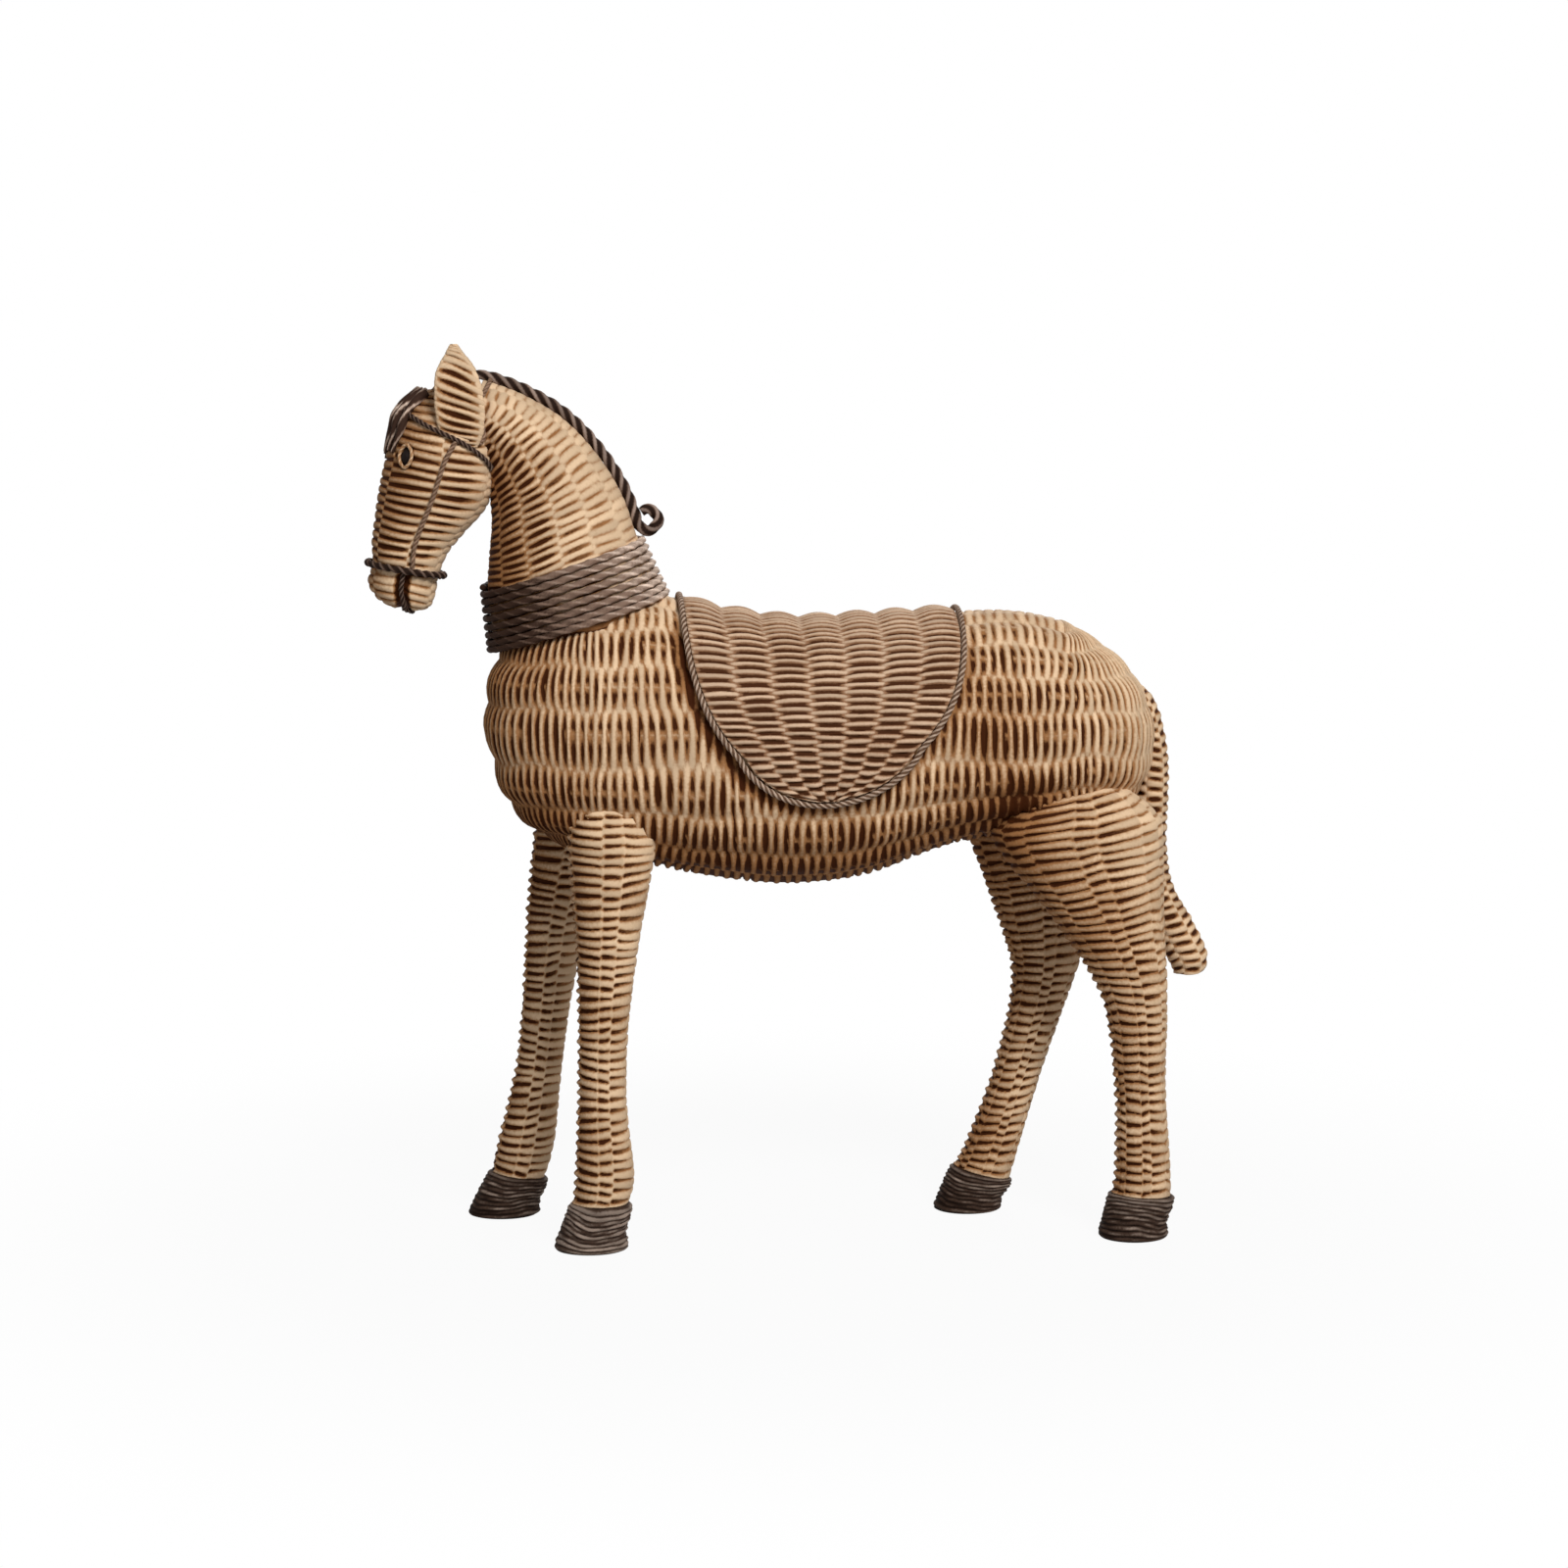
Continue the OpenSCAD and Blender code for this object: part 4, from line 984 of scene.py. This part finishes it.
def blanket():
    """A closed shell, woven on top, with a plain underside that follows the torso."""
    turn = np.linspace(-88, 88, 1200)
    spine = skin(torso_rows, torso_row_at(np.full(turn.shape, blanket_middle)),
                 blanket_drop * np.sin(np.radians(turn)), 0, torso_fullness)[0]
    way = length_along(spine)
    columns = blanket_columns * blanket_column_steps
    count = blanket_strands * blanket_strand_steps + 1
    turn = np.interp(np.linspace(0, way[-1], count), way, turn)
    down = np.sin(np.radians(turn))[:, None]
    half = blanket_half_length * np.cos(np.radians(turn))[:, None] * np.sqrt(1 + down ** 2)
    share = np.linspace(-1, 1, columns + 1)[None]
    middle = blanket_middle + blanket_sweep * down ** 2
    x, q = blanket_spots(turn, middle, half, share)
    along = np.repeat(blanket_edge_stake + blanket_columns * (share + 1) / 2, count, 0)
    across = np.repeat(np.linspace(0, blanket_strands, count)[:, None], columns + 1, 1)
    tight = ramp(np.abs(q), 50, 0)
    height, shade, tone = weave(across, along, plump=0.61 + 0.23 * tight, **blanket_lay)
    shade = shade * (1 - 0.25 * tight)
    dip = (0.5 + 0.9 * tight) * (1 - np.abs(np.sin(math.pi * along - math.pi / 2)))
    rim = ramp(half, 0, 6)
    lift = seat_gap + blanket_thickness + (height - dip) * rim
    upper = skin(torso_rows, torso_row_at(x), q, lift, torso_fullness)[0]
    under_x, under_q = blanket_spots(turn, middle, half, np.linspace(1, -1, underside_columns)[None])
    under = skin(torso_rows, torso_row_at(under_x), under_q, seat_gap, torso_fullness)[0]
    plain = np.ones((count, underside_columns))
    points = np.concatenate([upper, under, upper[:, :1]], 1)
    shade = np.concatenate([shade, plain, shade[:, :1]], 1)
    tone = np.concatenate([tone, 0.5 * plain, tone[:, :1]], 1)
    return capped_piece("saddle_blanket_weave", points, shade, tone)


place(blanket(), "blanket", blanket_finish, "saddle_blanket")

edging_d = 2.4
edging_lift = edging_d / 2 + seat_gap
flap_radius = 45.5
edging_turn = np.radians(np.linspace(0, 360, 289)[:-1])
edging_down = np.sin(edging_turn)
edging_half = (blanket_half_length + edging_lift) * np.cos(edging_turn) * np.sqrt(1 + edging_down ** 2)
edging_x = blanket_middle + blanket_sweep * edging_down ** 2 + edging_half
edging_drop = blanket_drop + math.degrees(math.atan(edging_lift / flap_radius))
edging_path, edging_out = skin(torso_rows, torso_row_at(edging_x), edging_drop * edging_down, edging_lift,
                               torso_fullness)
place(rope("saddle_edging_rope", edging_path, edging_out, edging_d, closed=True, fill=0.78),
      "cord", edging_finish, "saddle_edging")


# Neck wrap and mane

wrap_turns = 8
wrap_d = 2.9
wrap_sink = 0.2
wrap_foot = 1.0
wrap_rise = 1.05
wrap_step = 5
wrap_count = wrap_turns * 360 // wrap_step
wrap_turn = wrap_step * np.arange(wrap_count + 1)
wrap_path, wrap_out = skin(neck_rows, wrap_foot + wrap_rise * wrap_turn / (wrap_step * wrap_count),
                           180 + wrap_turn, wrap_d / 2 - wrap_sink)
# Painted shade on the front of the wrap, away from the light, fading to none at the crest.
wrap_painted_shade = 0.42 * (1 + np.cos(np.radians(wrap_turn)))
place(rope("neck_wrap_rope", wrap_path, wrap_out, wrap_d, plies=2, lay=5, fill=0.8, groove=0.25,
           stain=wrap_painted_shade), "cord", wrap_finish, "neck_wrap")

mane_d = 4.8
mane_lift = 1.6
mane_foot = 2.3
mane_end = (-125.1, 0, 333)
curl_radius = 4
mane_root, mane_root_out = skin(neck_rows, mane_foot, 0, mane_lift)
mane_down = np.array([mane_root_out[2], 0, -mane_root_out[0]])
curl_centre = mane_root + curl_radius * mane_root_out
curl_angle = np.radians(np.linspace(290, 25, 40))[:, None]
curl_in = np.cos(curl_angle) * mane_root_out - np.sin(curl_angle) * mane_down
mane_line, mane_out = skin(neck_rows, np.linspace(mane_foot, 7, 120), 0, mane_lift)
mane_path = np.concatenate([curl_centre - curl_radius * curl_in, mane_line, [mane_end]])
mane_up = np.concatenate([curl_in, mane_out, [[0, 0, 1]]])
mane_taper = ([0, 0.04, 0.9, 1], [0.85, 1, 1, 0.7])
place(rope("mane_rope", mane_path, mane_up, mane_d, lay=3.8, sides=18, fill=0.78, taper=mane_taper),
      "cord", mane_finish, "mane")


# Bridle

def head_path(places, lift, steps=24):
    """A line on the head through places and angles, and the directions that point out of it."""
    places = np.array(places, float)
    spot = smooth(places, np.linspace(0, len(places) - 1, steps * (len(places) - 1) + 1))
    return skin(head_rows, spot[:, 0], spot[:, 1], lift)


bridle_d = 2.0
bridle_sink = 0.2
bridle_lift = bridle_d / 2 - bridle_sink
noseband_d = 3
noseband_row = 3
noseband_path, noseband_out = skin(head_rows, noseband_row, np.linspace(0, 360, 121)[:-1],
                                   noseband_d / 2 + seat_gap)
place(rope("noseband_rope", noseband_path, noseband_out, noseband_d, plies=2, lay=2.6, closed=True, sides=14,
           stain=0.3), "cord", mane_finish, "noseband")

throat_places = np.array([
    (9.05, 180), (8.75, 140), (8.45, 105), (8.15, 70), (7.7, 40), (7.1, 18), (6.6, 0),
], float)
near_half, near_out = head_path(throat_places * (1, -1), bridle_lift)
far_half, far_out = head_path(throat_places, bridle_lift)
throat_path = np.concatenate([far_half, near_half[-2:0:-1]])
throat_out = np.concatenate([far_out, near_out[-2:0:-1]])
place(rope("throatlatch_rope", throat_path, throat_out, bridle_d, closed=True, stain=0.2),
      "cord", mane_finish, "throatlatch")

cheek_places = np.array([(3.1, 79), (4.6, 86), (6, 90), (7.3, 88), (8.15, 78)], float)
crown_places = np.array([(8.2, 50), (8.5, 42)], float)
crown_neck_row = 6.75
crown_neck_angles = np.array([76, 55, 32, 10], float)
for side, name in ((LEFT, "left"), (RIGHT, "right")):
    path, out = head_path(cheek_places * (1, side), bridle_lift)
    place(rope(name + "_cheek_strap_rope", path, out, bridle_d, groove=0.6),
          "cord", strap_finish, name + "_cheek_strap")
    foot, foot_out = skin(head_rows, crown_places[:, 0], side * crown_places[:, 1], bridle_lift)
    crest, crest_out = skin(neck_rows, crown_neck_row, side * crown_neck_angles, bridle_lift)
    stops = np.linspace(0, len(foot) + len(crest) - 1, 60)
    path = smooth(np.concatenate([foot, crest]), stops)
    out = smooth(np.concatenate([foot_out, crest_out]), stops)
    place(rope(name + "_crown_strap_rope", path, out, bridle_d, groove=0.6),
          "cord", strap_finish, "crown_strap")

mouth_places = np.array([
    (2.85, 92), (1.9, 90), (1, 86), (0.4, 80), (0.1, 0), (0.4, -80), (1, -86), (1.9, -90), (2.85, -92),
], float)
path, out = head_path(mouth_places, 0)
place(rope("mouth_rope", path, out, bridle_d, stain=0.3), "cord", mane_finish, "mouth_cord")


# Forelock: locks that fall from the poll over the forehead and lie flat on it

lock_d = 4.0
lock_top = 9.5
lock_angles = (-40, -27, -14, 0, 14, 27, 40)


def forelock():
    locks = []
    rng = np.random.default_rng(9)
    for i, angle in enumerate(lock_angles):
        t = np.linspace(lock_top, 7.0 + 0.5 * rng.uniform(), 40)
        fall = (lock_top - t) / 2.5
        spread = 1 - 0.45 * fall + 0.12 * np.sin(3 * fall + i)
        path, out = skin(head_rows, t, 180 + angle * spread, 1.1 - 1.3 * fall ** 3)
        locks.append(rope("forelock_locks", path, out, lock_d, plies=2, lay=7, fill=0.8, stain=0.15,
                          taper=([0, 0.6, 1], [1, 0.85, 0.4])))
    return joined(locks)


place(forelock(), "cord", wrap_finish, "forelock")


# Ears: leaves whose edges curl outwards

ear_half_width = 10
ear_half_thickness = 4
ear_curl = 3
ear_strands = 30
ear_columns = 96


def ear(name, side):
    rise = np.array([0, 0.22, 0.47, 0.72, 0.9, 1])[:, None]
    width = np.array([0.64, 0.92, 1, 0.84, 0.36, 0.16])[:, None]
    thickness = np.array([0.9, 1, 1, 0.9, 0.7, 0.25])[:, None]
    spots = np.array([(-126, 11.5, 306), (-127, 16, 324), (-129, 17.5, 344.5)], float)
    count = ear_strands * 6 + 1
    k = np.linspace(0, 5, count)
    p = smooth(spots, 2 * smooth(rise, k)[:, 0])
    half = ear_half_width * smooth(width, k)
    thick = ear_half_thickness * smooth(thickness, k)
    curl = ear_curl * half / ear_half_width
    q = np.linspace(0, 2 * math.pi, ear_columns + 1)[None]
    # Each face has one band of gaps between its smooth edges. Its strands slope down towards the rear.
    from_middle = np.abs(q - math.pi) - math.pi / 2
    along = np.repeat(np.clip(from_middle / 2.1 + 0.04, -0.5, 0.5), count, 0)
    across = np.linspace(0, ear_strands, count)[:, None] + 0.19 * half * (1 + np.cos(q))
    tip_closed = np.repeat(ramp(smooth(rise, k), 0.74, 0.82), ear_columns + 1, 1)
    height, shade, tone = weave(across, along, depth=0.5, plump=0.6 + 0.4 * tip_closed, seed=41, stakes=4)
    shade = shade * (1 - 0.6 * tip_closed)
    height = height * ramp(half, 0, 5)
    x = p[:, :1] + (half + height) * np.cos(q)
    y = -(p[:, 1:2] + curl * np.cos(q) ** 2) + (thick + height) * np.sin(q)
    z = np.repeat(p[:, 2:], ear_columns + 1, 1)
    points = np.stack([x, y, z], -1)
    if side == RIGHT:
        points = points[:, ::-1] * (1, -1, 1)
        shade = shade[:, ::-1]
        tone = tone[:, ::-1]
    return capped_piece(name, points, shade, tone)


for side, name in ((LEFT, "left"), (RIGHT, "right")):
    place(ear(name + "_ear_leaf", side), "cane", cane_finish, name + "_ear")


# Eyes: almond beads in their hollows, each with a rim of cord

eye_half = (2.2, 2.4, 3.7)
eye_sink = 1.4
eyelid_half = (2.9, 4.3)
eyelid_d = 1.4


def eye(name, side):
    centre, out, flat, tall = eye_frame(side)
    deselect()
    bpy.ops.mesh.primitive_uv_sphere_add(segments=32, ring_count=20, radius=MM)
    piece = named(name)
    ball = vertex_places(piece.data) / MM
    pinch = 1 - 0.35 * ball[:, 2:] ** 2
    wide, deep, high = np.hsplit(ball * eye_half, 3)
    almond = wide * pinch * flat + deep * pinch * out + high * tall
    piece.data.vertices.foreach_set("co", ((centre - eye_sink * out + almond) * MM).ravel())
    edit_all(bpy.ops.mesh.normals_make_consistent, inside=False)
    bpy.ops.object.shade_smooth()
    return piece


def eyelid(name, side):
    centre, out, flat, tall = eye_frame(side)
    a = np.linspace(0, 2 * math.pi, 97)[:-1, None]
    pinch = 1 - 0.25 * np.sin(a) ** 2
    path = centre + 0.1 * out + eyelid_half[0] * pinch * np.cos(a) * flat + eyelid_half[1] * np.sin(a) * tall
    return rope(name, path, np.repeat(out[None], len(a), 0), eyelid_d, plies=2, closed=True, step=0.3,
                fill=0.9, groove=0.3)


for side, name in ((LEFT, "left"), (RIGHT, "right")):
    place(eye(name + "_eye_bead", side), "eye", eye_finish, name + "_eye")
    place(eyelid(name + "_eyelid_rim", side), "cane", cane_finish, name + "_eyelid")


# Hidden steel rods keep their solids

def steel_finish():
    material, tree, shader = new_material("rod_steel")
    surface = shader.inputs
    surface["Metallic"].default_value = 1
    surface["Base Color"].default_value = paint(170, 170, 168)
    where = add_node(tree, "TexCoord")["Object"]
    scratch = add_node(tree, "TexNoise", {"Vector": where, "Scale": 600})["Fac"]
    rough = add_node(tree, "MapRange", {"Value": scratch, "To Min": 0.3, "To Max": 0.5})["Result"]
    tree.links.new(rough, surface["Roughness"])
    return material


rod_steel = steel_finish()
for rod in ("leg_rods", "neck_rod", "head_pin"):
    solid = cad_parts[rod]
    solid.data.materials.clear()
    solid.data.materials.append(rod_steel)


# Floor, light and camera

def seen_ray(tree):
    """Whether a ray comes from the camera, or from it by way of a mirror or glass."""
    ray = add_node(tree, "LightPath")
    seen = ray["Is Camera Ray"]
    for way in ("Is Glossy Ray", "Is Transmission Ray"):
        seen = add_node(tree, "Math", {0: seen, 1: ray[way]}, operation="MAXIMUM")["Value"]
    return seen


def paper_finish():
    """White to the camera. Near the object it keeps a share of its own light, and so the shadow."""
    material, tree, lit = new_material("paper_white")
    lit.inputs["Base Color"].default_value = (0.5, 0.5, 0.5, 1)
    lit.inputs["Roughness"].default_value = 1
    lit.inputs["Specular IOR Level"].default_value = 0
    glow = add_node(tree, "Emission", {"Strength": 1})["Emission"]
    where = add_node(tree, "TexCoord")["Object"]
    away = add_node(tree, "VectorMath", {0: where}, operation="LENGTH")["Value"]
    reach = {"Value": away, "From Min": 0.15, "From Max": 0.45, "To Min": 0.94, "To Max": 1}
    share = add_node(tree, "MapRange", reach, interpolation_type="SMOOTHSTEP")["Result"]
    white = add_node(tree, "Math", {0: seen_ray(tree), 1: share}, operation="MULTIPLY")["Value"]
    mixed = add_node(tree, "MixShader", {"Fac": white, 1: lit.outputs["BSDF"], 2: glow})["Shader"]
    tree.links.new(mixed, tree.nodes["Material Output"].inputs["Surface"])
    return material


deselect()
bpy.ops.mesh.primitive_plane_add(size=12)
floor = bpy.context.object
floor.name = "floor"
floor.data.materials.append(paper_finish())

world = bpy.data.worlds.new("studio")
bpy.context.scene.world = world
world.use_nodes = True
sky = world.node_tree.nodes["Background"].inputs
sky["Color"].default_value = (1, 1, 1, 1)
sky_level = {"Value": seen_ray(world.node_tree), "To Min": 0.13, "To Max": 1}
world.node_tree.links.new(add_node(world.node_tree, "MapRange", sky_level)["Result"], sky["Strength"])


def aim(thing, spot):
    way = np.array(spot) - np.array(thing.location)
    flat = math.hypot(way[0], way[1])
    thing.rotation_euler = (math.atan2(flat, -way[2]), 0, math.atan2(-way[0], way[1]))


lamp_target = (0, 0, 0.18)


def lamp(name, spot, size, power):
    deselect()
    bpy.ops.object.light_add(type="AREA", location=spot)
    light = bpy.context.object
    light.name = name
    light.data.shape = "DISK"
    light.data.size = size
    light.data.energy = power
    aim(light, lamp_target)


lamp("key_lamp", (0.5, -1.55, 1.4), size=0.8, power=37)
lamp("fill_lamp", (-0.6, -1.7, 0.8), size=1.0, power=2.5)
lamp("back_lamp", (0.3, 1.8, 0.9), size=1.2, power=16)

deselect()
azimuth = math.radians(-4.5)
elevation = math.radians(7)
distance = 1.5
target = np.array([-0.003, 0, 0.175])
away = np.array([
    math.sin(azimuth) * math.cos(elevation), -math.cos(azimuth) * math.cos(elevation), math.sin(elevation)
])
bpy.ops.object.camera_add(location=target + distance * away)
camera = bpy.context.object
camera.name = "photo_camera"
camera.data.lens = 88.8
camera.data.sensor_width = 36
aim(camera, target)
bpy.context.scene.camera = camera
bpy.context.scene.view_settings.view_transform = "Standard"
